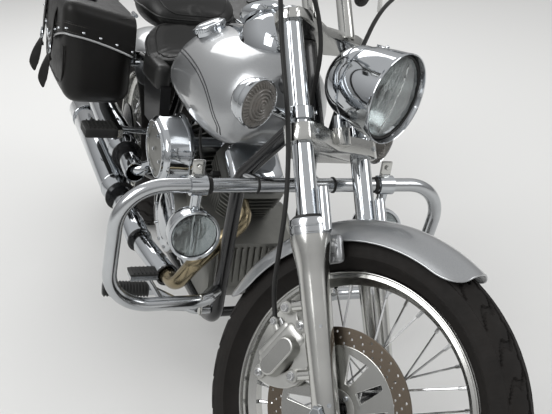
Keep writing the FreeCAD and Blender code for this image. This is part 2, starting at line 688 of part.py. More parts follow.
def tank_console():
    """Speedometer dome on the tank with the strip that runs back from it."""
    steps = 4
    curve = [(66 * cos(t), 0, 18 + 44 * sin(t)) for t in (k * pi / 2 / steps for k in range(steps))]
    dome = turned([(0, 0, 0), (66, 0, 0)] + curve + [(0, 0, curve[-1][2])], (0, 0, 0), UP)
    dome.rotate(V(0, 0, 0), LEFT, -10)
    dome.translate(V(925, 0, 858))
    ends = ((690, 16, 820, 843), (920, 44, 850, 892))
    strip = Part.makeLoft([outline([(x, -half, low), (x, -half, top), (x, half, top), (x, half, low)])
                           for x, half, low, top in ends], True, True)
    return fuse([dome, strip]).cut(tank_body())


def fuel_cap():
    """Chrome cap seated on the tank's right shoulder."""
    axis = V(0, -0.5, 0.87).normalize()
    cap = turned([(0, 0, -12), (39, 0, -12), (39, 0, 10), (32, 0, 16), (0, 0, 16)], (0, 0, 0), UP)
    cap.Placement = Placement(V(775, -75, 850), Rotation(UP, axis))
    return cap.cut(tank_body())


def pad_section(x, half, low_half, low, top):
    """Cross-section of a seat: flat below, bulging sides and a crowned top."""
    mid = (low + top) / 2 + 6
    right = [(-low_half, low), (-half, mid), (-0.78 * half, top - 10), (-0.38 * half, top - 1)]
    left = [(-side, z) for side, z in reversed(right)]
    return outline([(x, side, z) for side, z in right + left])


# Seat stations: x, half width, half width of the base, base, top.
RIDER_SEAT = ((600, 78, 60, 700, 750), (550, 122, 100, 684, 722), (490, 152, 128, 672, 716),
              (440, 156, 132, 680, 752), (402, 146, 122, 700, 800))
PASSENGER_SEAT = ((398, 118, 96, 752, 826), (340, 138, 112, 738, 866), (240, 138, 110, 724, 872),
                  (140, 124, 98, 716, 862), (60, 88, 66, 716, 832))


def rider_seat():
    """Bucket seat of the rider."""
    return Part.makeLoft([pad_section(*station) for station in RIDER_SEAT], True, True)


def passenger_seat():
    """Separate pad of the passenger."""
    return Part.makeLoft([pad_section(*station) for station in PASSENGER_SEAT], True, True)


def rear_lamps():
    """Tail lamp, turn signals on a cross bar over it and the carrier of the blank plate below it."""
    cover_r = REAR_COVER_R + REAR_COVER_WALL
    lamp_angle, bar_angle = radians(TAIL_LAMP_ANGLE), radians(REAR_BAR_ANGLE)
    seat = REAR_AXLE + V(-sin(lamp_angle), 0, cos(lamp_angle)) * cover_r
    middle = REAR_AXLE + V(-sin(bar_angle), 0, cos(bar_angle)) * (cover_r + REAR_BAR_LIFT)
    plate = seat + V(-52, 0, -92)
    x, z = plate.x, plate.z
    pieces = [Part.makeCylinder(44, 60, seat, V(-0.85, 0, 0.2)), bar(tuple(plate), tuple(seat + V(-6, 0, -10)), 16),
              bar(tuple(middle), tuple(seat + V(-6, 0, 0)), 14),
              bar((middle.x, -150, middle.z), (middle.x, 150, middle.z), 9)]
    for s in (-1, 1):
        bowl, lens = round_lamp((middle.x - 6, s * 178, middle.z), (-1, 0, 0), 40, 40, 14)
        pieces.append(bowl)
        pieces.append(lens.translated(V(SEAT_GAP + 0.1, 0, 0)))
    pieces.append(block((x - 14, -95, z - 150), (x - 10, 95, z - 20)))
    pieces.append(block((x - 12, -20, z - 60), (x + 8, 20, z)))
    envelope = Part.makeCylinder(cover_r + SEAT_GAP, 210, V(0, -105, REAR_TYRE_R), LEFT)
    return fuse(pieces).cut(envelope)


def side_covers():
    """Covers below the seat on both sides, hollow behind."""
    outline_points = ((604, 648), (612, 566), (566, 524), (452, 524), (420, 600), (420, 648))
    middle = V(515, COVER_Y, 590)
    cover = prism([(x, COVER_Y, z) for x, z in outline_points], (0, 28, 0))
    room = prism([(x, COVER_Y, z) for x, z in outline_points], (0, 24, 0))
    room.scale(0.92, middle)
    return both_sides(cover.cut(room))


def crankcase():
    """Crankcase with the round clutch and generator covers."""
    core = prism([(640, -100, 250), (1010, -100, 238), (1060, -100, 290), (1056, -100, 400), (960, -100, 452),
                  (720, -100, 452), (622, -100, 420), (618, -100, 300)], (0, 200, 0))
    right = Part.makeCylinder(98, 34, V(760, -100, 345), V(0, -1, 0))
    right_front = Part.makeCylinder(62, 22, V(925, -100, 335), V(0, -1, 0))
    left = Part.makeCylinder(92, 36, V(890, 100, 340), LEFT)
    left_rear = Part.makeCylinder(66, 24, V(735, 100, 335), LEFT)
    whole = fuse([core, right, right_front, left, left_rear])
    return whole


def cylinder_place(tilt):
    """Placement of one cylinder: its axis leaves the crankshaft at the given tilt from upright."""
    return Placement(V(CRANK_X, 0, CRANK_Z), Rotation(LEFT, tilt))


def placed_block(low, high, tilt):
    """Box drawn about a cylinder's axis and put in that cylinder's place."""
    shape = block(low, high)
    shape.Placement = cylinder_place(tilt)
    return shape


def port_way(side):
    """Way in which a head's exhaust port points: forward and down at the front, back and down at the rear."""
    return cylinder_place(side * CYLINDER_TILT).Rotation.multVec(V(side, 0, 0))


def port(side):
    """Centre of a head's exhaust port."""
    return cylinder_place(side * CYLINDER_TILT).multVec(V(side * (HEAD_HALF + SEAT_GAP), -36, PORT_HEIGHT))


def clipped(long, wide, corner, z):
    """Corners of a rectangle of given half sizes with its corners clipped."""
    return [(-long, -wide + corner, z), (-long + corner, -wide, z), (long - corner, -wide, z),
            (long, -wide + corner, z), (long, wide - corner, z), (long - corner, wide, z),
            (-long + corner, wide, z), (-long, wide - corner, z)]


def finned(low, high, half, core_r, pitch=FIN_PITCH):
    """Round barrel between two heights with square cooling fins that have clipped corners."""
    pieces = [Part.makeCylinder(core_r, high - low, V(0, 0, low))]
    count = int((high - low) // pitch)
    for k in range(count):
        z = low + (k + 0.5) * (high - low) / count - FIN_THICK / 2
        pieces.append(prism(clipped(half, half, half * 0.32, z), (0, 0, FIN_THICK)))
    return fuse(pieces)


def cylinders():
    """Two finned barrels with finned heads."""
    both = []
    for tilt in (CYLINDER_TILT, -CYLINDER_TILT):
        barrel = finned(BARREL_BASE, BARREL_TOP, BARREL_HALF, 52)
        head = finned(BARREL_TOP, HEAD_TOP, HEAD_HALF, 60, 14)
        case = Part.makeCylinder(58, 14, V(0, 0, BARREL_BASE))
        whole = fuse([barrel, head, case])
        whole.Placement = cylinder_place(tilt)
        both.append(whole)
    case = crankcase()
    return Part.makeCompound([c.cut(case) for c in both])


def rocker_covers():
    """Chrome covers on both heads."""
    both = []
    for tilt in (CYLINDER_TILT, -CYLINDER_TILT):
        rings = ((62, 66, HEAD_TOP), (62, 66, HEAD_TOP + 14), (56, 60, HEAD_TOP + 28), (40, 44, COVER_TOP))
        cover = Part.makeLoft([outline(clipped(long, wide, 20, z)) for long, wide, z in rings], True, True)
        cover.Placement = cylinder_place(tilt)
        both.append(cover)
    return Part.makeCompound(both)


def air_cleaner():
    """Chrome air cleaner on the engine's right side, with its intake neck and the manifold to both heads."""
    def oval(half_long, half_tall, low, high):
        r = half_tall
        s = half_long - half_tall
        return prism([(-s, low, -r), (s, low, -r), ("arc", (s + r, low, 0), (s, low, r)), (-s, low, r),
                      ("arc", (-s - r, low, 0), (-s, low, -r))], (0, high - low, 0))
    drum = oval(96, 72, -190, -112)
    edges = [e for e in drum.Edges if e.BoundBox.YMax < -189]
    drum = drum.makeFillet(16, edges)
    cover = fuse([drum, oval(102, 78, -128, -118)])
    cover.rotate(V(0, 0, 0), LEFT, 12)
    cover.translate(V(806, 0, 548))
    neck = bar((CRANK_X, -118, 566), (CRANK_X, -14, 566), 24)
    manifold = bar((CRANK_X - 70, -20, 574), (CRANK_X + 70, -20, 574), 18)
    heads = [placed_block((-78 - SEAT_GAP, -90, BARREL_TOP), (78 + SEAT_GAP, 90, COVER_TOP), tilt)
             for tilt in (CYLINDER_TILT, -CYLINDER_TILT)]
    return fuse([cover, neck, manifold.cut(Part.makeCompound(heads))])


def exhaust_headers():
    """Bent header pipes of both cylinders on the right side."""
    front_port = port(1)
    rear_port = port(-1)
    front_way, rear_way = port_way(1), port_way(-1)
    lower, upper = [(V(*ends[0]), (V(*ends[0]) - V(*ends[1])).normalize()) for ends in MUFFLERS]
    front = bent_tube([tuple(front_port), tuple(front_port + front_way * 46), (1086, -146, 372), (1042, -174, 294),
                       (985, -182, 291), tuple(lower[0] + lower[1] * 200), tuple(lower[0])], PIPE_R, 46)
    rear = bent_tube([tuple(rear_port), tuple(rear_port + rear_way * 58), tuple(upper[0] + upper[1] * 74),
                      tuple(upper[0])], PIPE_R, 34)
    return Part.makeCompound([front, rear])


# Mufflers: front end and rear end of the axis.
MUFFLERS = (((600, -214, 318), (-120, -216, 364)), ((545, -190, 418), (-120, -190, 468)))


def mufflers():
    """Two straight mufflers with a coned front end and an open outlet."""
    both = []
    for front, rear in MUFFLERS:
        a, b = V(*front), V(*rear)
        way = (b - a).normalize()
        length = (b - a).Length
        body = turned([(SEAT_GAP, 0, 0), (SEAT_GAP, PIPE_R + 3, 0), (34, PIPE_R + 3, 0), (84, MUFFLER_R, 0),
                       (length - 6, MUFFLER_R, 0), (length, MUFFLER_R - 3, 0), (length, MUFFLER_R - 9, 0),
                       (length - 60, MUFFLER_R - 9, 0), (length - 60, 0, 0)], (0, 0, 0), AHEAD)
        body.Placement = Placement(a, Rotation(AHEAD, way))
        both.append(body)
    return Part.makeCompound(both)


def guard_path():
    """Route of the engine guard's tube from its lower right end to its lower left end."""
    half = [(GUARD_X, GUARD_HALF, GUARD_TOP), (GUARD_LOW_X, GUARD_HALF, GUARD_LOW), (GUARD_LOW_X, 150, GUARD_LOW),
            (1130, 106, 318)]
    return [(x, -y, z) for x, y, z in reversed(half)] + half


def engine_guard():
    """Bent crash bar with a bracket at the middle and clamps at its lower ends."""
    pieces = [bent_tube(guard_path(), GUARD_TUBE_R, GUARD_BEND)]
    for s in (-1, 1):
        pieces.append(bar((GUARD_X, s * 60, GUARD_TOP), (1146, s * 78, 612), 8))
    whole = fuse(pieces)
    return whole.cut(frame())


def spot_lamps():
    """Two round lamps that hang from the guard's top bar."""
    bowls = []
    lenses = []
    for s in (-1, 1):
        centre = (GUARD_X + 12, s * SPOT_Y, 520)
        bowl, lens = round_lamp(centre, (1, 0, 0), SPOT_R, 62, 26)
        ring = Part.makeCylinder(GUARD_TUBE_R + 6, 34, V(GUARD_X, s * SPOT_Y - 17, GUARD_TOP), LEFT)
        stem = bar((GUARD_X, s * SPOT_Y, GUARD_TOP - 16), (GUARD_X - 6, s * SPOT_Y, 566), 11)
        tube = Part.makeCylinder(GUARD_TUBE_R + SEAT_GAP, 60, V(GUARD_X, s * SPOT_Y - 30, GUARD_TOP), LEFT)
        bowls.append(fuse([bowl, fuse([ring, stem]).cut(tube)]))
        lenses.append(lens)
    return Part.makeCompound(bowls), Part.makeCompound(lenses)


def foot_controls():
    """Forward pegs, brake pedal and shift lever on their brackets, and the passenger pegs."""
    cradle = CRADLE_Y + FRAME_TUBE_R + SEAT_GAP
    groups = []
    for s in (-1, 1):
        arm = bent_tube([(1112, s * cradle, 262), (1112, s * 146, 262), (1052, s * 238, 291)], 10, 30)
        peg = bar((1054, s * 232, 291), (1040, s * 346, 291), 15)
        lever = bent_tube([(1096, s * 160, 258), (1116, s * 215, 275), (1106, s * 262, 352)], 6.5, 20)
        toe = bar((1104, s * 254, 352), (1104, s * 306, 352), 9)
        if s < 0:
            toe = block((1086, -302, 350), (1122, -242, 362))
        groups.append(fuse([arm, peg, lever, toe]))
        hanger = bent_tube([(528, s * PEG_LUG_Y, 500), (528, s * 150, 500), (552, s * 226, 512)], 9, 30)
        groups.append(fuse([hanger, block((520, min(s * 224, s * 326), 500), (590, max(s * 224, s * 326), 522))]))
    return Part.makeCompound(groups)


def bag(side):
    """Hollow saddlebag body with rounded lower corners, open at the top."""
    inner, outer = BAG_INNER_Y, BAG_OUTER_Y
    r = 46.0
    w = BAG_WALL
    top = BAG_TOP - 12.0

    def shell(gap):
        low = BAG_LOW + gap
        x0, x1 = BAG_BACK + gap, BAG_FRONT - gap
        k = r - gap
        q = k * (1 - sqrt(0.5))
        y0 = inner + gap
        length = outer - inner - 2 * gap
        return prism([(x0 + k, y0, low), (x1 - k, y0, low), ("arc", (x1 - q, y0, low + q), (x1, y0, low + k)),
                      (x1, y0, top + gap), (x0, y0, top + gap), (x0, y0, low + k),
                      ("arc", (x0 + q, y0, low + q), (x0 + k, y0, low))], (0, length, 0))
    body = shell(0.0).cut(shell(w))
    if side < 0:
        body = body.mirror(V(0, 0, 0), LEFT)
    return body


def bag_lid(side):
    """Saddlebag lid: a domed top with skirts over the front, back and outer side."""
    w = BAG_WALL
    gap = 1.5
    x0, x1 = BAG_BACK - gap - w, BAG_FRONT + gap + w
    y0, y1 = BAG_INNER_Y, BAG_OUTER_Y + gap + w
    low = BAG_TOP - LID_SKIRT
    mid = (y0 + y1) / 2
    crown = BAG_TOP + 16
    lid = prism([(x0, y0, low), (x0, y0, BAG_TOP - 2), ("arc", (x0, mid, crown), (x0, y1, BAG_TOP - 22)),
                 (x0, y1, low)], (x1 - x0, 0, 0))
    room = prism([(x0 + w, y0 - 1, low - 1), (x0 + w, y0 - 1, BAG_TOP - 12 + gap),
                  (x0 + w, y1 - w, BAG_TOP - 12 + gap), (x0 + w, y1 - w, low - 1)], (x1 - x0 - 2 * w, 0, 0))
    lid = fuse([lid.cut(room)] + lid_knuckles())
    if side < 0:
        lid = lid.mirror(V(0, 0, 0), LEFT)
    return lid


def lid_knuckles():
    """The lid's halves of its two hinges, each a knuckle with a bore for the pin and a tab to the lid's edge."""
    pieces = []
    for x in HINGE_PLACES:
        a, b = x + HINGE_HALF + RUNNING_GAP, x + 3 * HINGE_HALF
        knuckle = bar((a, HINGE_Y, HINGE_Z), (b, HINGE_Y, HINGE_Z), HINGE_R)
        tab = block((a, HINGE_Y, HINGE_Z - 3), (b, BAG_INNER_Y + 3, HINGE_Z + 3))
        pieces.append(fuse([knuckle, tab]).cut(bar((a, HINGE_Y, HINGE_Z), (b, HINGE_Y, HINGE_Z),
                                                   HINGE_PIN_R + RUNNING_GAP)))
    return pieces


def bag_hinges():
    """The bags' halves of the lid hinges: a leaf on the inner wall, a knuckle and the pin."""
    halves = []
    for x in HINGE_PLACES:
        a, b = x - HINGE_HALF, x + HINGE_HALF
        knuckle = bar((a, HINGE_Y, HINGE_Z), (b, HINGE_Y, HINGE_Z), HINGE_R)
        pin = bar((a, HINGE_Y, HINGE_Z), (b + 2 * HINGE_HALF, HINGE_Y, HINGE_Z), HINGE_PIN_R)
        leaf = block((a, HINGE_Y - 2, HINGE_Z - 34), (b, HINGE_Y + 2, HINGE_Z))
        foot = block((a, HINGE_Y, HINGE_Z - 34), (b, BAG_INNER_Y - SEAT_GAP, HINGE_Z - 18))
        halves.append(fuse([knuckle, pin, leaf, foot]))
    return Part.makeCompound([both_sides(half) for half in halves])


def stand_axis():
    """Foot of the side stand on the ground, its rest direction, its turning axis and the ground's normal."""
    inverse = MAIN.inverse()
    normal = inverse.Rotation.multVec(UP)
    x, y = STAND_FOOT
    reach = -(MAIN.multVec(V(x, y, 0)).z) / normal.z
    foot = V(x, y, reach)
    down = (foot - STAND_PIVOT).normalize()
    axis = down.cross(STAND_BACK).normalize()
    return foot, down, axis, normal


def stand_bracket():
    """Web and plate on the left cradle tube with the headed pin on which the side stand turns."""
    foot, down, axis, normal = stand_axis()
    low = STAND_HALF + RUNNING_GAP
    plate = Part.makeCylinder(18, 8, STAND_PIVOT - axis * (low + 8), axis)
    root = V(STAND_PIVOT.x, CRADLE_Y, 216)
    web = bar(tuple(root), tuple(STAND_PIVOT - axis * (low + 4)), 10)
    room = Part.makeCylinder(22, 60, STAND_PIVOT - axis * low, axis)
    pin = Part.makeCylinder(STAND_PIN_R, 2 * low + 6, STAND_PIVOT - axis * (low + 6), axis)
    pin_head = Part.makeCylinder(10, 5, STAND_PIVOT + axis * low, axis)
    return fuse([fuse([plate, web]).cut(room), pin, pin_head])


def side_stand():
    """Side stand with its eye, tapered leg and foot pad flat on the ground."""
    foot, down, axis, normal = stand_axis()
    eye = Part.makeCylinder(19, 2 * STAND_HALF, STAND_PIVOT - axis * STAND_HALF, axis)
    ankle = foot + normal * 13
    leg = taper(tuple(STAND_PIVOT), tuple(ankle), 12, 9)
    pad = Part.makeCylinder(30, 8, foot, normal)
    bore = Part.makeCylinder(STAND_PIN_R + RUNNING_GAP, 60, STAND_PIVOT - axis * 30, axis)
    return fuse([eye, leg, pad, Part.makeSphere(10, ankle)]).cut(bore)


BODIES = {"chassis": MAIN, "fork": TURNED, "front_wheel": TURNED, "rear_wheel": MAIN, "side_stand": MAIN,
          "right_lid": MAIN, "left_lid": MAIN}


def nodes():
    """Every node with the moving body it belongs to."""
    shell, lens = headlight()
    signals, signal_lenses = front_signals()
    spots, spot_lenses = spot_lamps()
    return {
        "front_tyre": ("front_wheel", tyre(FRONT_AXLE, FRONT_TYRE_RING, FRONT_TYRE_TUBE, FRONT_FLANGE_R,
                                           FRONT_RIM_HALF)),
        "front_wheel": ("front_wheel", wheel(FRONT_AXLE, FRONT_FLANGE_R, FRONT_RIM_HALF, 38, FRONT_HUB_HALF, 36)),
        "front_disc": ("front_wheel", brake_disc()),
        "fork_sliders": ("fork", fork_sliders()),
        "fork_tubes": ("fork", fork_tubes()),
        "lower_clamp": ("fork", lower_clamp()),
        "upper_clamp": ("fork", upper_clamp()),
        "front_fender": ("fork", front_fender()),
        "brake_caliper": ("fork", brake_caliper()),
        "headlight_shell": ("fork", shell),
        "headlight_lens": ("fork", lens),
        "front_signals": ("fork", signals),
        "front_signal_lenses": ("fork", signal_lenses),
        "handlebar": ("fork", handlebar()),
        "grips": ("fork", grips()),
        "control_levers": ("fork", control_levers()),
        "mirrors": ("fork", mirrors()),
        "cables": ("fork", cables()),
        "frame": ("chassis", frame()),
        "swingarm": ("chassis", swingarm()),
        "rear_tyre": ("rear_wheel", tyre(REAR_AXLE, REAR_TYRE_RING, REAR_TYRE_TUBE, REAR_FLANGE_R, REAR_RIM_HALF)),
        "rear_wheel": ("rear_wheel", wheel(REAR_AXLE, REAR_FLANGE_R, REAR_RIM_HALF, 62, 70, 36)),
        "rear_fender": ("chassis", rear_fender()),
        "fender_rails": ("chassis", fender_rails()),
        "rear_lamps": ("chassis", rear_lamps()),
        "fuel_tank": ("chassis", fuel_tank()),
        "tank_console": ("chassis", tank_console()),
        "fuel_cap": ("chassis", fuel_cap()),
        "rider_seat": ("chassis", rider_seat()),
        "passenger_seat": ("chassis", passenger_seat()),
        "side_covers": ("chassis", side_covers()),
        "crankcase": ("chassis", crankcase()),
        "cylinders": ("chassis", cylinders()),
        "rocker_covers": ("chassis", rocker_covers()),
        "air_cleaner": ("chassis", air_cleaner()),
        "exhaust_headers": ("chassis", exhaust_headers()),
        "mufflers": ("chassis", mufflers()),
        "engine_guard": ("chassis", engine_guard()),
        "spot_lamps": ("chassis", spots),
        "spot_lenses": ("chassis", spot_lenses),
        "foot_controls": ("chassis", foot_controls()),
        "right_bag": ("chassis", bag(-1)),
        "left_bag": ("chassis", bag(1)),
        "bag_hinges": ("chassis", bag_hinges()),
        "right_bag_lid": ("right_lid", bag_lid(-1)),
        "left_bag_lid": ("left_lid", bag_lid(1)),
        "side_stand": ("side_stand", side_stand()),
    }


def parked():
    """Every node as the parked bike stands, with the origin below the middle of its box."""
    shapes = {}
    box = FreeCAD.BoundBox()
    for name, (body, shape) in nodes().items():
        moved = shape.copy()
        moved.Placement = BODIES[body].multiply(moved.Placement)
        shapes[name] = moved
        box.add(moved.BoundBox)
    shift = V(-box.Center.x, -box.Center.y, 0)
    for shape in shapes.values():
        shape.translate(shift)
    return shapes, shift


def main():
    """Writes one STEP file for each node."""
    os.makedirs("parts", exist_ok=True)
    shapes, shift = parked()
    for name, shape in shapes.items():
        shape.exportStep("parts/" + name + ".step")


if __name__ == "__main__":
    main()
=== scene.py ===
"""Cruiser motorcycle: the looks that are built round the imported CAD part."""

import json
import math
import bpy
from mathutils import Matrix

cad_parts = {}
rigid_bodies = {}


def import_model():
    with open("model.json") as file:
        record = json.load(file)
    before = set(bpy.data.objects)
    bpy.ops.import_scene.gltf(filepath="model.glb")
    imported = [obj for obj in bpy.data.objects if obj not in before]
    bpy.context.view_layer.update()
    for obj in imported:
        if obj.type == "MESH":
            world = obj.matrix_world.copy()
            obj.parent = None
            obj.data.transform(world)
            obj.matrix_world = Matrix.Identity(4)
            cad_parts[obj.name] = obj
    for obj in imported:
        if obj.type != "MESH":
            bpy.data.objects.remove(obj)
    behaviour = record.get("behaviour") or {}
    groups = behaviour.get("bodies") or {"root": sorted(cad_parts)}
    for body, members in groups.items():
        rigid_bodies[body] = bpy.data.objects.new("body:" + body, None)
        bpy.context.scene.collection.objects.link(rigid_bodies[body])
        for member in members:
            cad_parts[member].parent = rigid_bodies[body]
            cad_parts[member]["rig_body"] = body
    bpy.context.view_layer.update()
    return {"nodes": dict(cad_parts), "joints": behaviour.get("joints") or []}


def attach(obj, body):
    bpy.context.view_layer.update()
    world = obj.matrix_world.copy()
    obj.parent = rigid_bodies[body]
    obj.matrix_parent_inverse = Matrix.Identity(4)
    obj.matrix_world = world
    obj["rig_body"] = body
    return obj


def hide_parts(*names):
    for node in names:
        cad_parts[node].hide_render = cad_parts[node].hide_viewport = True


bl_info = {
    "name": "Cruiser motorcycle",
    "version": (1, 0, 0),
    "blender": (4, 5, 0),
    "location": "View3D > Sidebar > Cruiser",
    "description": "Builds the finished surfaces of a laced-wheel cruiser motorcycle on its CAD frame",
    "category": "Object",
}

import bmesh
import bpy
from mathutils import Matrix, Vector

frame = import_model()

NODES = frame["nodes"]
JOINTS = {joint["name"]: joint for joint in frame["joints"]}
MM = Matrix.Scale(0.001, 4)
SMOOTH = math.radians(32)

# The CAD model's driving sizes, in millimetres.
RAKE = math.radians(34)
FRONT_AXLE = Vector((1610, 0, 331))
REAR_AXLE = Vector((0, 0, 326))
FORK_OFFSET = 48
LEG_Y = 112
BAR_CENTRE = Vector((1148.5, 0, 1051))


def along(*values):
    """Unit vector."""
    return Vector(values).normalized()


def columns(a, b, c):
    """Rotation whose columns are three unit vectors."""
    return Matrix((a, b, c)).transposed()


def body_place(spin_joint, axle):
    """Where the upright drawing of the bike lies in the row frame, from a wheel's joint and the steering joint."""
    side = Vector(JOINTS[spin_joint]["axis"]).normalized()
    up = Vector(JOINTS["steering"]["axis"]).normalized()
    side = side if side.y > 0 else -side
    up = up if up.z > 0 else -up
    drawn = columns((math.cos(RAKE), 0, math.sin(RAKE)), (-math.sin(RAKE), 0, math.cos(RAKE)), (0, 1, 0))
    turned = columns(side.cross(up), up, side) @ drawn.transposed()
    at = Vector(JOINTS[spin_joint]["pos_m"]) - turned @ (axle * 0.001)
    return Matrix.Translation(at) @ turned.to_4x4()


MAIN = body_place("rear_wheel_spin", REAR_AXLE)
TURNED = body_place("front_wheel_spin", FRONT_AXLE)
STEER_FOOT = FRONT_AXLE - Vector((math.cos(RAKE), 0, math.sin(RAKE))) * FORK_OFFSET
FORK_LOCAL = Matrix.Translation(STEER_FOOT) @ Matrix.Rotation(-RAKE, 4, "Y")
CHASSIS = MAIN @ MM
FORK = TURNED @ MM
ON_FORK = FORK @ FORK_LOCAL
FRONT_HUB = FORK @ Matrix.Translation(FRONT_AXLE)
REAR_HUB = CHASSIS @ Matrix.Translation(REAR_AXLE)


# Materials.

def linear(code):
    """An sRGB hex colour as the linear colour that a shader takes."""
    parts = [int(code[i:i + 2], 16) / 255 for i in (1, 3, 5)]
    return tuple(c / 12.92 if c <= 0.04045 else ((c + 0.055) / 1.055) ** 2.4 for c in parts) + (1.0,)


def add(tree, kind, inputs=None, **settings):
    """Adds a node, makes its settings, and sets or links its inputs."""
    made = tree.nodes.new(kind)
    for key, value in settings.items():
        setattr(made, key, value)
    for key, value in (inputs or {}).items():
        if isinstance(value, bpy.types.NodeSocket):
            tree.links.new(value, made.inputs[key])
        else:
            made.inputs[key].default_value = value
    return made


def material(name, **shader):
    """A new material with one principled shader; its inputs are given by name with _ for a space."""
    made = bpy.data.materials.new(name)
    made.use_nodes = True
    tree = made.node_tree
    tree.nodes.clear()
    surface = add(tree, "ShaderNodeBsdfPrincipled", {k.replace("_", " "): v for k, v in shader.items()})
    add(tree, "ShaderNodeOutputMaterial", {"Surface": surface.outputs[0]})
    return made, tree, surface


def drifting(name, low, high, size_mm, detail=2.0, rough=None, bump=None, **shader):
    """Material that drifts between two hex colours over a size in mm.

    rough is a size in mm, the lowest and the highest roughness and a detail. bump is a texture, noise or pebble, with
    its size and depth in mm and its strength. Without a high colour the low one is the same all over.
    """
    made, tree, surface = material(name, **shader)
    where = add(tree, "ShaderNodeTexCoord").outputs["Object"]
    if high:
        drift = add(tree, "ShaderNodeTexNoise", {"Vector": where, "Scale": 1000 / size_mm, "Detail": detail})
        mix = add(tree, "ShaderNodeMix", {0: drift.outputs["Fac"], 6: linear(low), 7: linear(high)}, data_type="RGBA")
        tree.links.new(mix.outputs[2], surface.inputs["Base Color"])
    else:
        surface.inputs["Base Color"].default_value = linear(low)
    if rough:
        patch_mm, least, most, patch_detail = rough
        patches = add(tree, "ShaderNodeTexNoise", {"Vector": where, "Scale": 1000 / patch_mm, "Detail": patch_detail})
        spread = add(tree, "ShaderNodeMapRange", {"Value": patches.outputs["Fac"], "To Min": least, "To Max": most})
        tree.links.new(spread.outputs["Result"], surface.inputs["Roughness"])
    if bump:
        texture, grain_mm, depth_mm, strength = bump
        grain = {"Vector": where, "Scale": 1000 / grain_mm}
        if texture == "pebble":
            height = add(tree, "ShaderNodeTexVoronoi", grain, feature="SMOOTH_F1").outputs["Distance"]
        else:
            height = add(tree, "ShaderNodeTexNoise", {**grain, "Detail": 2.0}).outputs["Fac"]
        raised = add(tree, "ShaderNodeBump", {"Height": height, "Distance": depth_mm * 0.001, "Strength": strength})
        tree.links.new(raised.outputs[0], surface.inputs["Normal"])
    return made


def silver_paint():
    # Silver metallic lacquer, sprayed and clear-coated: a soft metal glow under a sharp gloss. The flakes are drawn
    # 1.6 mm wide, coarser than real ones, so that they show.
    return drifting("silver_metallic_lacquer", "#8E9092", "#A6A8AA", 1.6, rough=(60, 0.28, 0.38, 2.0), Metallic=0.72,
                    Roughness=0.32, Coat_Weight=1.0, Coat_Roughness=0.04)


def chrome():
    # Steel, polished and chrome-plated: a near mirror that haze from handling softens in patches.
    return drifting("chrome_plated_steel", "#B0B4B8", "#C4C7CA", 90, rough=(40, 0.03, 0.10, 2.0), Metallic=1.0,
                    Roughness=0.06)


def worn_chrome():
    # Chrome on bent tube, dulled by road salt: greyer than new plate, with cloudy patches.
    return drifting("road_dulled_chrome", "#A6A9AC", "#C4C6C8", 60, 3.0, rough=(25, 0.10, 0.24, 3.0), Metallic=1.0,
                    Roughness=0.16)


def cast_alloy():
    # Aluminium, sand-cast and tumbled: a satin skin with a fine pebble.
    return drifting("cast_satin_aluminium", "#A9A9A6", "#BDBDBA", 25, rough=(8, 0.32, 0.46, 2.0),
                    bump=("noise", 1.2, 0.05, 0.35), Metallic=1.0, Roughness=0.38)


def polished_alloy():
    # Aluminium, spun and buffed: bright, with a slight milky haze.
    return drifting("polished_aluminium", "#B4B4B1", "#C6C6C3", 50, rough=(6, 0.12, 0.22, 2.0), Metallic=1.0,
                    Roughness=0.16)


def machined_bronze():
    # Disc steel with a bronze-coloured pad film, ground in rings: dark and streaky along the sweep. The rings are
    # drawn coarser than ground ones, so that they show.
    made, tree, surface = material("ground_brake_steel", Metallic=1.0, Roughness=0.34)
    at, turned = (TURNED @ Matrix.Translation(FRONT_AXLE * 0.001)).decompose()[:2]
    where = add(tree, "ShaderNodeTexCoord").outputs["Object"]
    own = add(tree, "ShaderNodeMapping", {"Vector": where, "Location": at, "Rotation": turned.to_euler()},
              vector_type="TEXTURE").outputs[0]
    flat = add(tree, "ShaderNodeVectorMath", {0: own, 1: (1, 0, 1)}, operation="MULTIPLY").outputs[0]
    reach = add(tree, "ShaderNodeVectorMath", {0: flat}, operation="LENGTH").outputs["Value"]
    rings = add(tree, "ShaderNodeTexNoise", {"W": reach, "Scale": 700.0, "Detail": 3.0},
                noise_dimensions="1D").outputs["Fac"]
    mix = add(tree, "ShaderNodeMix", {0: rings, 6: linear("#5A5148"), 7: linear("#7C7266")}, data_type="RGBA")
    raised = add(tree, "ShaderNodeBump", {"Height": rings, "Distance": 0.00006, "Strength": 0.5})
    tree.links.new(mix.outputs[2], surface.inputs["Base Color"])
    tree.links.new(raised.outputs[0], surface.inputs["Normal"])
    return made


def black_enamel():
    # Steel with stoved black enamel: deep, glossy, faintly wavy.
    return drifting("black_stoved_enamel", "#0A0A0B", "#121214", 30, rough=(12, 0.18, 0.3, 2.0), Roughness=0.24,
                    Coat_Weight=0.25, Coat_Roughness=0.1)


def tyre_rubber():
    # Carbon-black rubber, moulded and weathered brown: dry, matt, with mould grain.
    return drifting("weathered_tyre_rubber", "#131211", "#221F1D", 40, 4.0, rough=(15, 0.62, 0.82, 2.0),
                    bump=("noise", 1.5, 0.12, 0.5), Roughness=0.76, Specular_IOR_Level=0.22)


def black_rubber():
    # Soft black rubber, moulded: matt with a slight bloom.
    return drifting("black_moulded_rubber", "#121212", "#1E1E1D", 20, 3.0, bump=("noise", 0.9, 0.05, 0.4),
                    Roughness=0.6, Specular_IOR_Level=0.4)


def black_leather():
    # Cowhide, dyed black and waxed: 2 mm pebble grain with a soft sheen and paler rubbed highs.
    return drifting("black_waxed_cowhide", "#070707", "#110F0D", 70, 4.0, rough=(22, 0.34, 0.55, 3.0),
                    bump=("pebble", 2.2, 0.35, 0.55), Roughness=0.42, Specular_IOR_Level=0.3)


def waxed_thread():
    # Waxed polyester thread, twisted: dark grey with a dull shine.
    return drifting("waxed_polyester_thread", "#2E2C29", "#474440", 2, Roughness=0.5)


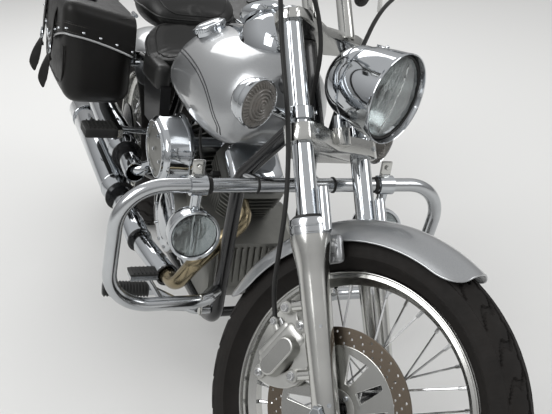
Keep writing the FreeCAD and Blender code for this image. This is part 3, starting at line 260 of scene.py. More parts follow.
def black_plastic():
    # ABS, moulded and painted satin black: even, with a soft wide highlight.
    return drifting("satin_black_abs", "#0D0D0E", "#151516", 60, bump=("noise", 1.2, 0.03, 0.2), Roughness=0.38,
                    Specular_IOR_Level=0.45)


def black_vinyl():
    # Expanded vinyl on foam, embossed: a fine grain of about 1.6 mm and a tight satin.
    return drifting("embossed_black_vinyl", "#0C0C0C", "#151514", 90, 3.0, rough=(30, 0.38, 0.52, 2.0),
                    bump=("pebble", 1.6, 0.18, 0.5), Roughness=0.45, Specular_IOR_Level=0.5)


def silver_piping():
    # Silver-foiled vinyl cord, extruded: dull metal with tiny wrinkles.
    return drifting("silver_foiled_piping", "#9C9D9E", "#C2C3C4", 4, bump=("noise", 2.5, 0.2, 0.4), Metallic=0.8,
                    Roughness=0.36)


def engine_alloy():
    # Engine castings, bead-blasted and lacquered: greyer and rougher than the fork's.
    return drifting("bead_blasted_engine_alloy", "#6E6E6B", "#84847F", 35, 3.0, bump=("noise", 1.4, 0.1, 0.4),
                    Metallic=0.9, Roughness=0.44)


def heated_steel():
    # Header steel, drawn and heat-tinted: straw gold that drifts to brown along the run.
    return drifting("heat_tinted_steel", "#80755E", "#A0947A", 55, rough=(10, 0.18, 0.32, 2.0), Metallic=1.0,
                    Roughness=0.24)


def spoke_steel():
    # Stainless wire, drawn and buffed: bright and even.
    return drifting("buffed_stainless_wire", "#BFC0C1", "#D2D3D4", 12, Metallic=1.0, Roughness=0.18)


def dark_steel():
    # Zinc-plated fasteners, passivated dark: a dull grey that keeps screws from shining.
    return drifting("passivated_dark_zinc", "#3A3B3C", "#56585A", 6, Metallic=0.9, Roughness=0.42)


def stripe_paint():
    # Pinstripe, brushed on by hand in charcoal enamel: thin and glossy.
    return drifting("charcoal_pinstripe_enamel", "#1B1D20", "#2A2D30", 5, Roughness=0.25)


def mirror_coat():
    # Vacuum-silvered reflector, aged: a soft grey mirror with a faint bloom.
    return drifting("vacuum_silvered_reflector", "#A4A8AA", "#B6BABC", 20, Metallic=1.0, Roughness=0.24)


def clear_glass():
    # Pressed glass: clear, with the low swell that the mould leaves.
    return drifting("pressed_clear_glass", "#DDE1E0", None, 1, bump=("noise", 14, 0.3, 0.25), Roughness=0.05, IOR=1.5,
                    Transmission_Weight=1.0)


def smoked_lens():
    # Moulded acrylic, lightly smoked: grey-clear, with the warm bulb showing through its rings.
    return drifting("smoked_moulded_acrylic", "#625F5B", "#86827D", 30, Roughness=0.1, IOR=1.49,
                    Transmission_Weight=0.3)


def amber_lens():
    # Acrylic, moulded and dyed amber in the mass: it glows where light passes.
    return drifting("amber_moulded_acrylic", "#D9791B", None, 1, bump=("noise", 6, 0.2, 0.2), Roughness=0.08,
                    IOR=1.49, Transmission_Weight=0.55)


def red_lens():
    # Acrylic, moulded and dyed red in the mass: deep where it is thick.
    return drifting("red_moulded_acrylic", "#A81414", None, 1, bump=("noise", 6, 0.2, 0.2), Roughness=0.08, IOR=1.49,
                    Transmission_Weight=0.55)


MADE = {}


def finish(look):
    """Material of a look, made once."""
    if look not in MADE:
        MADE[look] = look()
    return MADE[look]


# Mesh makers.

SIDES = ((-1, "right"), (1, "left"))


def plain_object(name, mesh):
    """Object at the origin that holds a mesh, curve, lamp or camera."""
    made = bpy.data.objects.new(name, mesh)
    bpy.context.scene.collection.objects.link(made)
    return made


def shade(mesh, angle=SMOOTH):
    """Smooth shading with sharp edges past an angle."""
    mesh.shade_smooth()
    mesh.set_sharp_from_angle(angle=angle)


def coat(made, look, angle=SMOOTH):
    """Gives a finished object its only material and its shading."""
    made.data.materials.clear()
    made.data.materials.append(finish(look))
    shade(made.data, angle)


def make(name, shapes, place, look, body, stands_for=(), angle=SMOOTH):
    """One object from (points, faces) shapes drawn in a place's frame."""
    mesh = joined(name, shapes)
    mesh.transform(place)
    work = bmesh.new()
    work.from_mesh(mesh)
    bmesh.ops.remove_doubles(work, verts=work.verts, dist=1e-6)
    bmesh.ops.recalc_face_normals(work, faces=work.faces)
    work.to_mesh(mesh)
    work.free()
    shade(mesh, angle)
    mesh.materials.append(finish(look))
    return settle(plain_object(name, mesh), body, stands_for)


def settle(made, body, stands_for=()):
    """Gives a finished object its body and hides the CAD nodes that it stands for."""
    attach(made, body)
    if stands_for:
        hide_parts(*stands_for)
    return made


def skin(node, look, width=0.0):
    """Smooth copy of a CAD node that stands for it, with its flat faces joined and its edges eased."""
    source = NODES[node]
    mesh = source.data.copy()
    mesh.name = node + "_skin"
    work = bmesh.new()
    work.from_mesh(mesh)
    bmesh.ops.remove_doubles(work, verts=work.verts, dist=2e-5)
    if width:
        bmesh.ops.dissolve_limit(work, angle_limit=math.radians(1.5), verts=work.verts, edges=work.edges)
    work.to_mesh(mesh)
    work.free()
    for layer in [a.name for a in mesh.attributes if a.name == "custom_normal"]:
        mesh.attributes.remove(mesh.attributes[layer])
    mesh.materials.clear()
    mesh.materials.append(finish(look))
    made = plain_object(node + "_skin", mesh)
    if width:
        ease = made.modifiers.new("ease", "BEVEL")
        ease.width = width * 0.001
        ease.segments = 2
        ease.limit_method = "ANGLE"
        ease.angle_limit = math.radians(40)
        ease.use_clamp_overlap = True
        made = baked(made)
    shade(made.data)
    return settle(made, source["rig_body"], (node,))


def baked(made, place=None, name=None):
    """Plain mesh of an object with its modifiers applied, placed in its vertices."""
    seen = made.evaluated_get(bpy.context.evaluated_depsgraph_get())
    mesh = bpy.data.meshes.new_from_object(seen)
    if place:
        mesh.transform(place)
    mesh.name = name or made.name
    old = made.name
    bpy.data.objects.remove(made)
    return plain_object(name or old, mesh)


def row_faces(rows, n, joined_up=False, closed=True):
    """Faces between rows of n points each; the last row can be joined to the first."""
    return [(i * n + k, (i + 1) % rows * n + k, (i + 1) % rows * n + (k + 1) % n, i * n + (k + 1) % n)
            for i in range(rows if joined_up else rows - 1) for k in range(n if closed else n - 1)]


def turn(profile, steps, axis="Y", closed=True):
    """Surface of revolution of (radius, along) points about an axis."""
    points = []
    for i in range(steps):
        a = 2 * math.pi * i / steps
        for r, t in profile:
            u, v = r * math.cos(a), r * math.sin(a)
            points.append({"Y": (u, t, v), "X": (t, u, v), "Z": (u, v, t)}[axis])
    return points, row_faces(steps, len(profile), True, closed)


def spun(profile, at, way, steps=32, closed=False):
    """Turned piece whose axis runs through a point; the profile is (radius, distance along the axis)."""
    points, faces = turn(profile, steps, "X", closed)
    turned = Vector((1, 0, 0)).rotation_difference(Vector(way)).to_matrix()
    return [turned @ Vector(p) + Vector(at) for p in points], faces


def band(at, way, inner, outer, width):
    """Ring with eased edges round an axis, such as a clamp or a tie."""
    e = min(1.0, width / 4)
    return spun([(inner, 0), (outer - e, 0), (outer, e), (outer, width - e), (outer - e, width), (inner, width)],
                at, way, 40, True)


def racetrack(half, r, y, x=0.0, z=0.0):
    """Oblong ring of points across the y axis."""
    steps = 12
    ring = []
    for turn_by, sign in ((-90, 1), (90, -1)):
        for k in range(steps + 1):
            a = math.radians(turn_by + 180 * k / steps)
            ring.append((x + sign * half + r * math.cos(a), y, z + r * math.sin(a)))
    return ring


def heading(path, i):
    """Direction of a path at its point i."""
    return (path[min(i + 1, len(path) - 1)] - path[max(i - 1, 0)]).normalized()


def ring_about(centre, side, other, r, sides):
    """Circle of points in the plane of two directions."""
    return [centre + (side * math.cos(2 * math.pi * k / sides) + other * math.sin(2 * math.pi * k / sides)) * r
            for k in range(sides)]


def tube(path, r, sides=16):
    """Round tube along a path of points; r is one radius or one for each point."""
    path = [Vector(p) for p in path]
    radii = r if isinstance(r, (list, tuple)) else [r] * len(path)
    rings = []
    side = None
    for i, p in enumerate(path):
        way = heading(path, i)
        if side is None:
            side = way.orthogonal().normalized()
        side = (side - way * side.dot(way)).normalized()
        rings.append(ring_about(p, side, way.cross(side), radii[i], sides))
    return loft(rings)


def rounded_box(low, high, r, cuts=(10, 10, 10), bulge=(0, 0, 0)):
    """Box with rounded edges and slightly bulging sides, as a fine grid."""
    low, high = Vector(low), Vector(high)
    mid, half = (low + high) / 2, (high - low) / 2
    points, faces = [], []
    for axis in range(3):
        u, v = (axis + 1) % 3, (axis + 2) % 3
        for sign in (-1, 1):
            start = len(points)
            nu, nv = cuts[u], cuts[v]
            for i in range(nu + 1):
                for j in range(nv + 1):
                    q = [0.0, 0.0, 0.0]
                    q[axis] = sign
                    q[u] = edge_spread(i / nu, r / half[u])
                    q[v] = edge_spread(j / nv, r / half[v])
                    points.append(round_off(q, half, r, bulge) + mid)
            for i in range(nu):
                for j in range(nv):
                    a = start + i * (nv + 1) + j
                    quad = (a, a + nv + 1, a + nv + 2, a + 1)
                    faces.append(quad if sign > 0 else quad[::-1])
    return points, faces


def edge_spread(t, corner):
    """Places grid lines closer together near both ends, from -1 to 1."""
    q = 2 * t - 1
    return math.copysign(1 - (1 - abs(q)) ** (1.0 + min(corner, 0.9)), q)


def round_off(q, half, r, bulge):
    """Point of a unit cube moved to a box of given half sizes with rounded edges."""
    p = Vector((q[0] * half[0], q[1] * half[1], q[2] * half[2]))
    core = Vector([max(-half[i] + r, min(half[i] - r, p[i])) for i in range(3)])
    away = p - core
    if away.length > 1e-9:
        p = core + away.normalized() * r
    for axis in range(3):
        u, v = (axis + 1) % 3, (axis + 2) % 3
        swell = (1 - (p[u] / half[u]) ** 2) * (1 - (p[v] / half[v]) ** 2)
        p[axis] += bulge[axis] * swell * (p[axis] / half[axis])
    return p


def arc_points(a, b, c, steps):
    """Points of the circular arc from a through b to c, in a plane."""
    ax, ay, bx, by, cx, cy = *a, *b, *c
    d = 2 * (ax * (by - cy) + bx * (cy - ay) + cx * (ay - by))
    x = ((ax * ax + ay * ay) * (by - cy) + (bx * bx + by * by) * (cy - ay) + (cx * cx + cy * cy) * (ay - by)) / d
    y = ((ax * ax + ay * ay) * (cx - bx) + (bx * bx + by * by) * (ax - cx) + (cx * cx + cy * cy) * (bx - ax)) / d
    r = math.hypot(ax - x, ay - y)
    t0, t1, t2 = (math.atan2(p[1] - y, p[0] - x) for p in (a, b, c))
    while t1 < t0:
        t1 += 2 * math.pi
    while t2 < t0:
        t2 += 2 * math.pi
    if t1 > t2:
        t2 -= 2 * math.pi
    return [(x + r * math.cos(t0 + (t2 - t0) * k / steps), y + r * math.sin(t0 + (t2 - t0) * k / steps))
            for k in range(steps + 1)]


def spline_value(table, x, column):
    """Smooth value of a table's column at x, through its rows."""
    i = max(0, min(len(table) - 2, sum(1 for row in table if row[0] <= x) - 1))
    rows = [table[max(0, min(len(table) - 1, i + k))] for k in (-1, 0, 1, 2)]
    (x0, y0), (x1, y1), (x2, y2), (x3, y3) = [(row[0], row[column]) for row in rows]
    t = (x - x1) / (x2 - x1)
    m1 = (y2 - y0) / (x2 - x0) * (x2 - x1)
    m2 = (y3 - y1) / (x3 - x1) * (x2 - x1)
    return ((2 * t ** 3 - 3 * t ** 2 + 1) * y1 + (t ** 3 - 2 * t ** 2 + t) * m1 + (3 * t ** 2 - 2 * t ** 3) * y2
            + (t ** 3 - t ** 2) * m2)


def loft(sections):
    """Closed skin over rings with the same number of points."""
    n = len(sections[0])
    points = [p for ring in sections for p in ring]
    faces = []
    for i in range(len(sections) - 1):
        for k in range(n):
            m = (k + 1) % n
            faces.append((i * n + k, i * n + m, (i + 1) * n + m, (i + 1) * n + k))
    faces.append(tuple(range(n))[::-1])
    faces.append(tuple((len(sections) - 1) * n + k for k in range(n)))
    return points, faces


def between(a, b, c, d, t):
    """Point from b at t = 0 to c at t = 1 on a smooth curve that comes from a and goes on to d."""
    return 0.5 * (2 * b + (c - a) * t + (2 * a - 5 * b + 4 * c - d) * t ** 2 + (3 * b - a - 3 * c + d) * t ** 3)


def smooth_path(points, steps=8):
    """Points along a smooth curve through the given ones."""
    p = [Vector(q) for q in points]
    last = len(p) - 1
    return [between(p[max(i - 1, 0)], p[i], p[i + 1], p[min(i + 2, last)], k / steps)
            for i in range(last) for k in range(steps)] + [p[-1]]


def closed_curve(points):
    """Smooth closed outline through flat points."""
    n, steps = len(points), 5
    p = [Vector(q) for q in points]
    return [tuple(between(p[i - 1], p[i], p[(i + 1) % n], p[(i + 2) % n], k / steps))
            for i in range(n) for k in range(steps)]


def circle(r, steps, x=0.0, y=0.0):
    """Points of a circle in a plane."""
    return [(x + r * math.cos(2 * math.pi * k / steps), y + r * math.sin(2 * math.pi * k / steps))
            for k in range(steps)]


def moved(shape, x, y, z):
    """Copy of a shape, shifted."""
    return [(p[0] + x, p[1] + y, p[2] + z) for p in shape[0]], shape[1]


# Geometry node trees for what repeats.

def new_tree(name, inputs):
    """Geometry node tree with the given inputs between the geometry and its material, and its input node."""
    tree = bpy.data.node_groups.new(name, "GeometryNodeTree")
    for label, kind in (("Geometry", "Geometry"), *inputs, ("Material", "Material")):
        tree.interface.new_socket(label, in_out="INPUT", socket_type="NodeSocket" + kind)
    tree.interface.new_socket("Geometry", in_out="OUTPUT", socket_type="NodeSocketGeometry")
    return tree, add(tree, "NodeGroupInput")


def finished_tree(tree, given, points, piece, rotation):
    """The tree with its last nodes: the piece set on the points, made real, coated and handed out."""
    copies = add(tree, "GeometryNodeInstanceOnPoints", {"Points": points, "Instance": piece, "Rotation": rotation})
    real = add(tree, "GeometryNodeRealizeInstances", {"Geometry": copies.outputs[0]})
    coated = add(tree, "GeometryNodeSetMaterial", {"Geometry": real.outputs[0], "Material": given.outputs["Material"]})
    add(tree, "NodeGroupOutput", {"Geometry": coated.outputs[0]})
    return tree


def copies_tree():
    """Tree that repeats the incoming mesh: turned about Y and moved along a step, then made real."""
    if "repeat_piece" in bpy.data.node_groups:
        return bpy.data.node_groups["repeat_piece"]
    tree, given = new_tree("repeat_piece", (("Count", "Int"), ("Turn", "Float"), ("Step", "Vector")))
    number = add(tree, "GeometryNodeInputIndex").outputs[0]
    angle = add(tree, "ShaderNodeMath", {0: number, 1: given.outputs["Turn"]}, operation="MULTIPLY").outputs[0]
    rotation = add(tree, "ShaderNodeCombineXYZ", {"Y": angle}).outputs[0]
    place = add(tree, "ShaderNodeVectorMath", {0: given.outputs["Step"], "Scale": number},
                operation="SCALE").outputs[0]
    dots = add(tree, "GeometryNodePoints", {"Count": given.outputs["Count"], "Position": place}).outputs[0]
    return finished_tree(tree, given, dots, given.outputs["Geometry"], rotation)


def along_tree():
    """Tree that sets a piece at an even pitch along the incoming curve, its x axis along it, then makes it real."""
    if "set_along_curve" in bpy.data.node_groups:
        return bpy.data.node_groups["set_along_curve"]
    tree, given = new_tree("set_along_curve", (("Piece", "Object"), ("Pitch", "Float")))
    spaced = {"Curve": given.outputs["Geometry"], "Length": given.outputs["Pitch"]}
    dots = add(tree, "GeometryNodeCurveToPoints", spaced, mode="LENGTH")
    turned = add(tree, "FunctionNodeAlignRotationToVector", {"Vector": dots.outputs["Tangent"]}, axis="X").outputs[0]
    piece = add(tree, "GeometryNodeObjectInfo", {"Object": given.outputs["Piece"]}).outputs["Geometry"]
    return finished_tree(tree, given, dots.outputs["Points"], piece, turned)


def joined(name, shapes):
    """One mesh from (points, faces) shapes."""
    points, faces = [], []
    for shape_points, shape_faces in shapes:
        start = len(points)
        points += [Vector(p) for p in shape_points]
        faces += [[start + i for i in face] for face in shape_faces]
    mesh = bpy.data.meshes.new(name)
    mesh.from_pydata(points, [], faces)
    return mesh


def set_inputs(modifier, values):
    """Sets a geometry nodes modifier's inputs by their names, through the sockets' identifiers."""
    for item in modifier.node_group.interface.items_tree:
        if item.item_type == "SOCKET" and item.in_out == "INPUT" and item.name in values:
            modifier[item.identifier] = values[item.name]


def repeated(name, shapes, place, look, body, count, turn_by=0.0, step=(0, 0, 0)):
    """Pieces repeated by geometry nodes in their own frame, then placed as one plain mesh."""
    made = plain_object(name, joined(name, shapes))
    spread = made.modifiers.new("repeat", "NODES")
    spread.node_group = copies_tree()
    set_inputs(spread, {"Count": count, "Turn": turn_by, "Step": Vector(step), "Material": finish(look)})
    made = baked(made, place, name)
    shade(made.data)
    return settle(made, body)


def spline(curve, kind, path):
    """New spline of a curve along a path of points."""
    line = curve.splines.new(kind)
    line.points.add(len(path) - 1)
    for point, at in zip(line.points, path):
        point.co = (*at, 1)
    return line


def set_along(name, paths, shapes, pitch, place, look, body):
    """Pieces set at an even pitch along paths by geometry nodes, then placed as one plain mesh."""
    curve = bpy.data.curves.new(name, "CURVE")
    curve.dimensions = "3D"
    for path in paths:
        spline(curve, "POLY", path)
    piece = plain_object(name + "_piece", joined(name + "_piece", shapes))
    made = plain_object(name, curve)
    spread = made.modifiers.new("along", "NODES")
    spread.node_group = along_tree()
    set_inputs(spread, {"Piece": piece, "Pitch": pitch, "Material": finish(look)})
    made = baked(made, place, name)
    bpy.data.objects.remove(piece)
    shade(made.data)
    return settle(made, body)


def bolt(at, way, r, height, sides=6):
    """Domed or six-sided bolt head on a surface at a point."""
    at, way = Vector(at), Vector(way).normalized()
    base = [(at, r * 1.25), (at + way * height * 0.22, r * 1.25), (at + way * height * 0.24, r),
            (at + way * height * 0.85, r), (at + way * height, r * 0.82)]
    side = way.orthogonal().normalized()
    return loft([ring_about(centre, side, way.cross(side), radius, sides) for centre, radius in base])


# Sizes and colours that a user can change.

class CruiserSizes(bpy.types.PropertyGroup):
    """Sizes of the repeated and fitted pieces."""

    spokes_per_group: bpy.props.IntProperty(
        name="Spokes per group", description="Spokes in each of a wheel's four lacing groups", default=9, min=5,
        max=15)
    spoke_radius: bpy.props.FloatProperty(
        name="Spoke radius", description="Half the thickness of a spoke", default=0.0021, unit="LENGTH",
        subtype="DISTANCE")
    tread_depth: bpy.props.FloatProperty(
        name="Tread depth", description="Depth of the tyre grooves", default=0.0052, unit="LENGTH",
        subtype="DISTANCE")
    shoulder_grooves: bpy.props.IntProperty(
        name="Shoulder grooves", description="Curved grooves round each side of a tyre", default=31, min=12, max=90)
    sidewall_ribs: bpy.props.IntProperty(
        name="Sidewall ribs", description="Radial ribs round a tyre's side", default=248, min=62, max=372)
    disc_holes: bpy.props.IntProperty(
        name="Disc holes", description="Drilled holes in each row of the brake disc", default=36, min=12, max=60)
    stud_pitch: bpy.props.FloatProperty(
        name="Stud pitch", description="Distance between the studs on the bags", default=0.048, unit="LENGTH",
        subtype="DISTANCE")
    lamp_strength: bpy.props.FloatProperty(
        name="Lamp strength", description="Strength of the studio's three lamps", default=26.0, min=0.0)


class CruiserColours(bpy.types.PropertyGroup):
    """Colours of the stage."""

    floor: bpy.props.FloatVectorProperty(
        name="Floor", description="Colour of the studio floor", size=3, subtype="COLOR", default=(0.72, 0.72, 0.71))


# The wheels.

def tyre_shape(ring, tube_r, foot_r, foot_y, sizes):
    """Tyre with zigzag shoulder grooves, a ridged side band and smooth bands between them."""
    around = 744
    half = 34
    limit = math.radians(95)
    deep = sizes.tread_depth * 1000
    section = []
    for k in range(-half, half + 1):
        t = limit * k / half
        section.append((ring + tube_r * math.cos(t), tube_r * math.sin(t), t))
    foot = [(foot_r + 14, foot_y + 9), (foot_r + 5, foot_y + 3), (foot_r, foot_y)]
    points = []
    for i in range(around):
        a = 2 * math.pi * i / around
        row = [(r, -y) for r, y in reversed(foot)]
        for r, y, t in section:
            drop = groove(abs(math.degrees(t)), a + (math.pi / sizes.shoulder_grooves if t < 0 else 0.0), deep, sizes)
            row.append((r - drop * math.cos(t), y - drop * math.sin(t)))
        row += foot
        points += [(r * math.cos(a), y, r * math.sin(a)) for r, y in row]
    return points, row_faces(around, len(section) + 2 * len(foot), True)


def groove(t, a, deep, sizes):
    """Depth of the tread or height of the ribs at an angle from the crown and round the wheel."""
    turns = a * sizes.shoulder_grooves / (2 * math.pi)
    if t < 56.0:
        wave = 1.0 - abs(1.0 - 2.0 * (turns % 1.0))
        if abs(t - 7.0 - 5.0 * wave) < 2.6:
            return deep
        if t < 13.0:
            return 0.0
        reach = (t - 13.0) / 43.0
        bend = 0.55 * reach + 0.16 * math.sin(reach * 2.2 * math.pi)
        return deep * (1 - 0.35 * reach) if (turns + bend) % 1.0 < 0.24 - 0.06 * reach else 0.0
    if t < 60.0:
        return 0.9
    if t < 63.0 or 84.0 < t < 87.0:
        return -0.5
    if t < 84.0:
        return 0.35 if (a * sizes.sidewall_ribs / (2 * math.pi)) % 1.0 < 0.5 and 66.0 < t < 82.0 else 0.0
    return 0.0


def rim_profile(flange_r, half):
    """Drop-centre rim section with rolled lips, as (radius, side)."""
    seat, well = flange_r - 9.0, flange_r - 24.0
    lip = [(flange_r - 2.6 + 2.6 * math.cos(a), half - 2.6 + 2.6 * math.sin(a))
           for a in (math.radians(d) for d in range(180, -31, -30))]
    outer = [(r, y) for r, y in lip] + [(seat - 3, half - 1.0), (seat - 3.4, half - 17), (well - 3, half - 25)]
    inner = [(well, half - 25), (seat, half - 19), (seat, half - 6)]
    right = [(r, -y) for r, y in reversed(outer)]
    inner_right = [(r, -y) for r, y in reversed(inner)]
    return outer + right + inner_right + inner


def spoke_set(hub_r, flange_y, rim_r, side, lead, phase, r):
    """One laced spoke with its bent head and its nipple, in the wheel's frame."""
    a0, a1 = phase + lead, phase
    head = Vector(((hub_r - 5) * math.cos(a0), side * (flange_y - 3.5), (hub_r - 5) * math.sin(a0)))
    start = Vector(((hub_r - 5) * math.cos(a0), side * (flange_y + 4.0), (hub_r - 5) * math.sin(a0)))
    end = Vector((rim_r * math.cos(a1), side * 5.0, rim_r * math.sin(a1)))
    way = (end - start).normalized()
    wire = tube([head, start - Vector((0, side * 2, 0)), start + way * 4, end - way * 8], r, 6)
    nipple = tube([end - way * 15, end - way * 14, end - way * 4, end], [r * 1.2, r * 1.75, r * 1.75, r * 2.1], 8)
    return [wire, nipple]


def laced_wheel(prefix, hub, sizes, flange_r, half, hub_r, hub_half, ring, tube_r):
    """Tyre, rim, hub and spokes of one wheel: flange and half width of the rim, hub, and the tyre's round section."""
    body = prefix + "_wheel"
    make(prefix + "_tyre_cover", [tyre_shape(ring, tube_r, flange_r + 1.2, half - 5.2, sizes)], hub, tyre_rubber,
         body, (prefix + "_tyre",), math.radians(28))
    make(prefix + "_rim", [turn(rim_profile(flange_r, half), 120)], hub, polished_alloy, body, (body,))
    barrel = hub_r - 14.0
    flange_y = hub_half - 18.0
    profile = [(10, -hub_half), (barrel - 3, -hub_half), (barrel, -hub_half + 3), (barrel, -flange_y - 7),
               (hub_r - 1.5, -flange_y - 5.5), (hub_r, -flange_y - 4), (hub_r, -flange_y - 1),
               (hub_r - 1.5, -flange_y), (barrel, -flange_y + 3), (barrel - 4, 0)]
    profile += [(r, -y) for r, y in reversed(profile[:-1])]
    make(prefix + "_hub", [turn(profile, 56)], hub, cast_alloy if prefix == "rear" else black_enamel, body)
    step = 2 * math.pi / sizes.spokes_per_group
    quarter = step / 4
    shapes = []
    for k, (side, lead) in enumerate(((-1, 52), (1, 52), (-1, -52), (1, -52))):
        shapes += spoke_set(hub_r, flange_y + 2.5, flange_r - 27.5, side, math.radians(lead), k * quarter,
                            sizes.spoke_radius * 1000)
    repeated(prefix + "_spokes", shapes, hub, spoke_steel, body, sizes.spokes_per_group, step)


def flat_plate(name, loops, thickness, place, look, body, stands_for=(), edge=0.6):
    """Plate with holes: closed outlines filled as one curve, given thickness and eased edges."""
    curve = bpy.data.curves.new(name, "CURVE")
    curve.dimensions = "2D"
    curve.fill_mode = "BOTH"
    curve.extrude = thickness / 2
    curve.bevel_depth = edge
    curve.bevel_resolution = 1
    curve.offset = -edge
    for loop in loops:
        spline(curve, "POLY", [(x, y, 0) for x, y in loop]).use_cyclic_u = True
    made = baked(plain_object(name, curve), place, name)
    coat(made, look)
    return settle(made, body, stands_for)


def disc_loops(sizes):
    """Outline, bore and drilled rows of the brake disc."""
    loops = [circle(149, 144), circle(112, 96)[::-1]]
    for row, r in enumerate((120.5, 130.5, 140.5)):
        count = sizes.disc_holes
        for k in range(count):
            a = 2 * math.pi * (k + row / 3) / count
            loops.append(circle(2.6, 10, r * math.cos(a), r * math.sin(a))[::-1])
    return loops


def carrier_loops():
    """Outline and windows of the disc's silver carrier."""
    loops = [circle(117, 96), circle(24, 48)[::-1]]
    for k in range(10):
        a = 2 * math.pi * (k + 0.5) / 10
        wide, slim = (0.20, 0.045) if k % 2 else (0.09, 0.21)
        corners = [(52, a - wide), (104, a - slim), (104, a + slim), (52, a + wide)]
        loops.append([(r * math.cos(t), r * math.sin(t)) for r, t in corners][::-1])
    return loops


def brake_disc(sizes):
    """Drilled ring, windowed carrier and the buttons that join them."""
    flat = FRONT_HUB @ Matrix.Translation((0, -76, 0)) @ Matrix.Rotation(math.pi / 2, 4, "X")
    flat_plate("disc_ring", disc_loops(sizes), 3.6, flat, machined_bronze, "front_wheel",
               ("front_disc",), 0.4)
    flat_plate("disc_carrier", carrier_loops(), 4.4, flat, polished_alloy, "front_wheel", edge=0.8)
    button = turn([(0.01, -78.9), (4.6, -78.9), (5.4, -78.0), (5.4, -73.4), (0.01, -73.4)], 14, "Y", False)
    repeated("disc_buttons", [moved(button, 112.5, 0, 0)], FRONT_HUB, spoke_steel, "front_wheel", 10,
             2 * math.pi / 10)
    boss = turn([(24, -79.5), (38, -79.5), (40, -77.5), (40, -63), (24, -63)], 48)
    make("disc_boss", [boss], FRONT_HUB, cast_alloy, "front_wheel")
    repeated("disc_bolts", [bolt((31, -79.5, 0), (0, -1, 0), 4.2, 5.5)], FRONT_HUB, chrome, "front_wheel", 5,
             2 * math.pi / 5)


# The fork.

def sliders():
    """Cast lower legs with flared polished collars, the axle, caliper lugs, drain bolts and chrome tube guards."""
    legs, collars, guards, nuts = [], [], [], []
    profile = [(0.01, -38), (21, -38), (24, -35), (25, -31), (25, 60), (26.4, 120), (28.2, 200), (29.2, 240),
               (30.4, 256), (33.5, 276), (36, 294), (37.2, 306), (37.2, 314), (36.2, 315)]
    ring = [(36.2, 315), (36.2, 317), (38, 318), (38, 328), (37, 329), (37, 331), (38, 332), (38, 342),
            (37, 344.6), (32, 345), (32, 343), (35, 315)]
    post = [(0.01, 318), (9.5, 318), (10.8, 320), (10.8, 396), (10.2, 399.4), (7, 401.5), (0.01, 402)]
    for side, word in SIDES:
        at = Vector((FORK_OFFSET, side * LEG_Y, 0))
        legs.append(spun(profile + [(0.01, 318)], at, (0, 0, 1), 64))
        collars.append(spun(ring, at, (0, 0, 1), 64, True))
        collars.append(rounded_box(at + Vector((20, -9, 318)), at + Vector((42, 9, 342)), 4, (4, 4, 4)))
        guards.append(spun(post, at + Vector((35, 0, 0)), (0, 0, 1), 40))
        nuts.append(bolt(at + Vector((0, 0, -37.5)), (0, 0, -1), 8, 6))
        nuts.append(bolt(at + Vector((0, side * 30, 0)), (0, side, 0), 12, 9))
        nuts.append(bolt(at + Vector((18, side * 17, 12)), (0.7, side * 0.7, 0), 3.4, 4, 12))
        nuts.append(bolt(at + Vector((16, side * 19, 150)), (0.6, side * 0.8, 0), 3.0, 3, 12))
        seal = [(21, 344.6), (32, 344.6), (31.4, 348), (27, 351.5), (21.2, 352), (21.2, 348)]
        make(word + "_dust_seal", [spun(seal, at, (0, 0, 1), 48, True)], ON_FORK, black_rubber, "fork")
    for up in (66, 190):
        legs.append(tube([(FORK_OFFSET, -LEG_Y, up), (-12, -LEG_Y, up)], 10, 24))
    make("slider_legs", legs, ON_FORK, polished_alloy, "fork", ("fork_sliders",))
    make("slider_collars", collars, ON_FORK, worn_chrome, "fork")
    make("tube_guards", guards, ON_FORK, chrome, "fork")
    axle = [(0.01, -LEG_Y - 29), (8, -LEG_Y - 29), (9.3, -LEG_Y - 27), (9.3, LEG_Y + 27), (8, LEG_Y + 29),
            (0.01, LEG_Y + 29)]
    make("front_axle", [spun(axle, (FORK_OFFSET, 0, 0), (0, 1, 0), 32)], ON_FORK, spoke_steel, "fork")
    make("slider_bolts", nuts, ON_FORK, chrome, "fork", angle=math.radians(20))


def clamps():
    """Polished clamps with their cap bolts and the stem nut."""
    skin("lower_clamp", polished_alloy, width=2.2)
    skin("upper_clamp", polished_alloy, width=2.2)
    caps = []
    for side in (-1, 1):
        dome = turn([(0.01, 757.5), (8, 757), (15, 754.5), (20, 750.5), (21.5, 748.6), (0.01, 748.6)], 32, "Z", False)
        caps.append(moved(dome, FORK_OFFSET, side * LEG_Y, 0))
        caps.append(bolt((FORK_OFFSET + 31, side * LEG_Y, 505), (1, 0, 0), 5.5, 6))
        caps.append(bolt((FORK_OFFSET + 10, side * 62, 522), (0, 0, 1), 6.5, 6, 12))
    nut = bolt((0, 0, 758.5), (0, 0, 1), 11, 8)
    make("clamp_bolts", caps + [nut], ON_FORK, chrome, "fork")
    skin("fork_tubes", chrome)


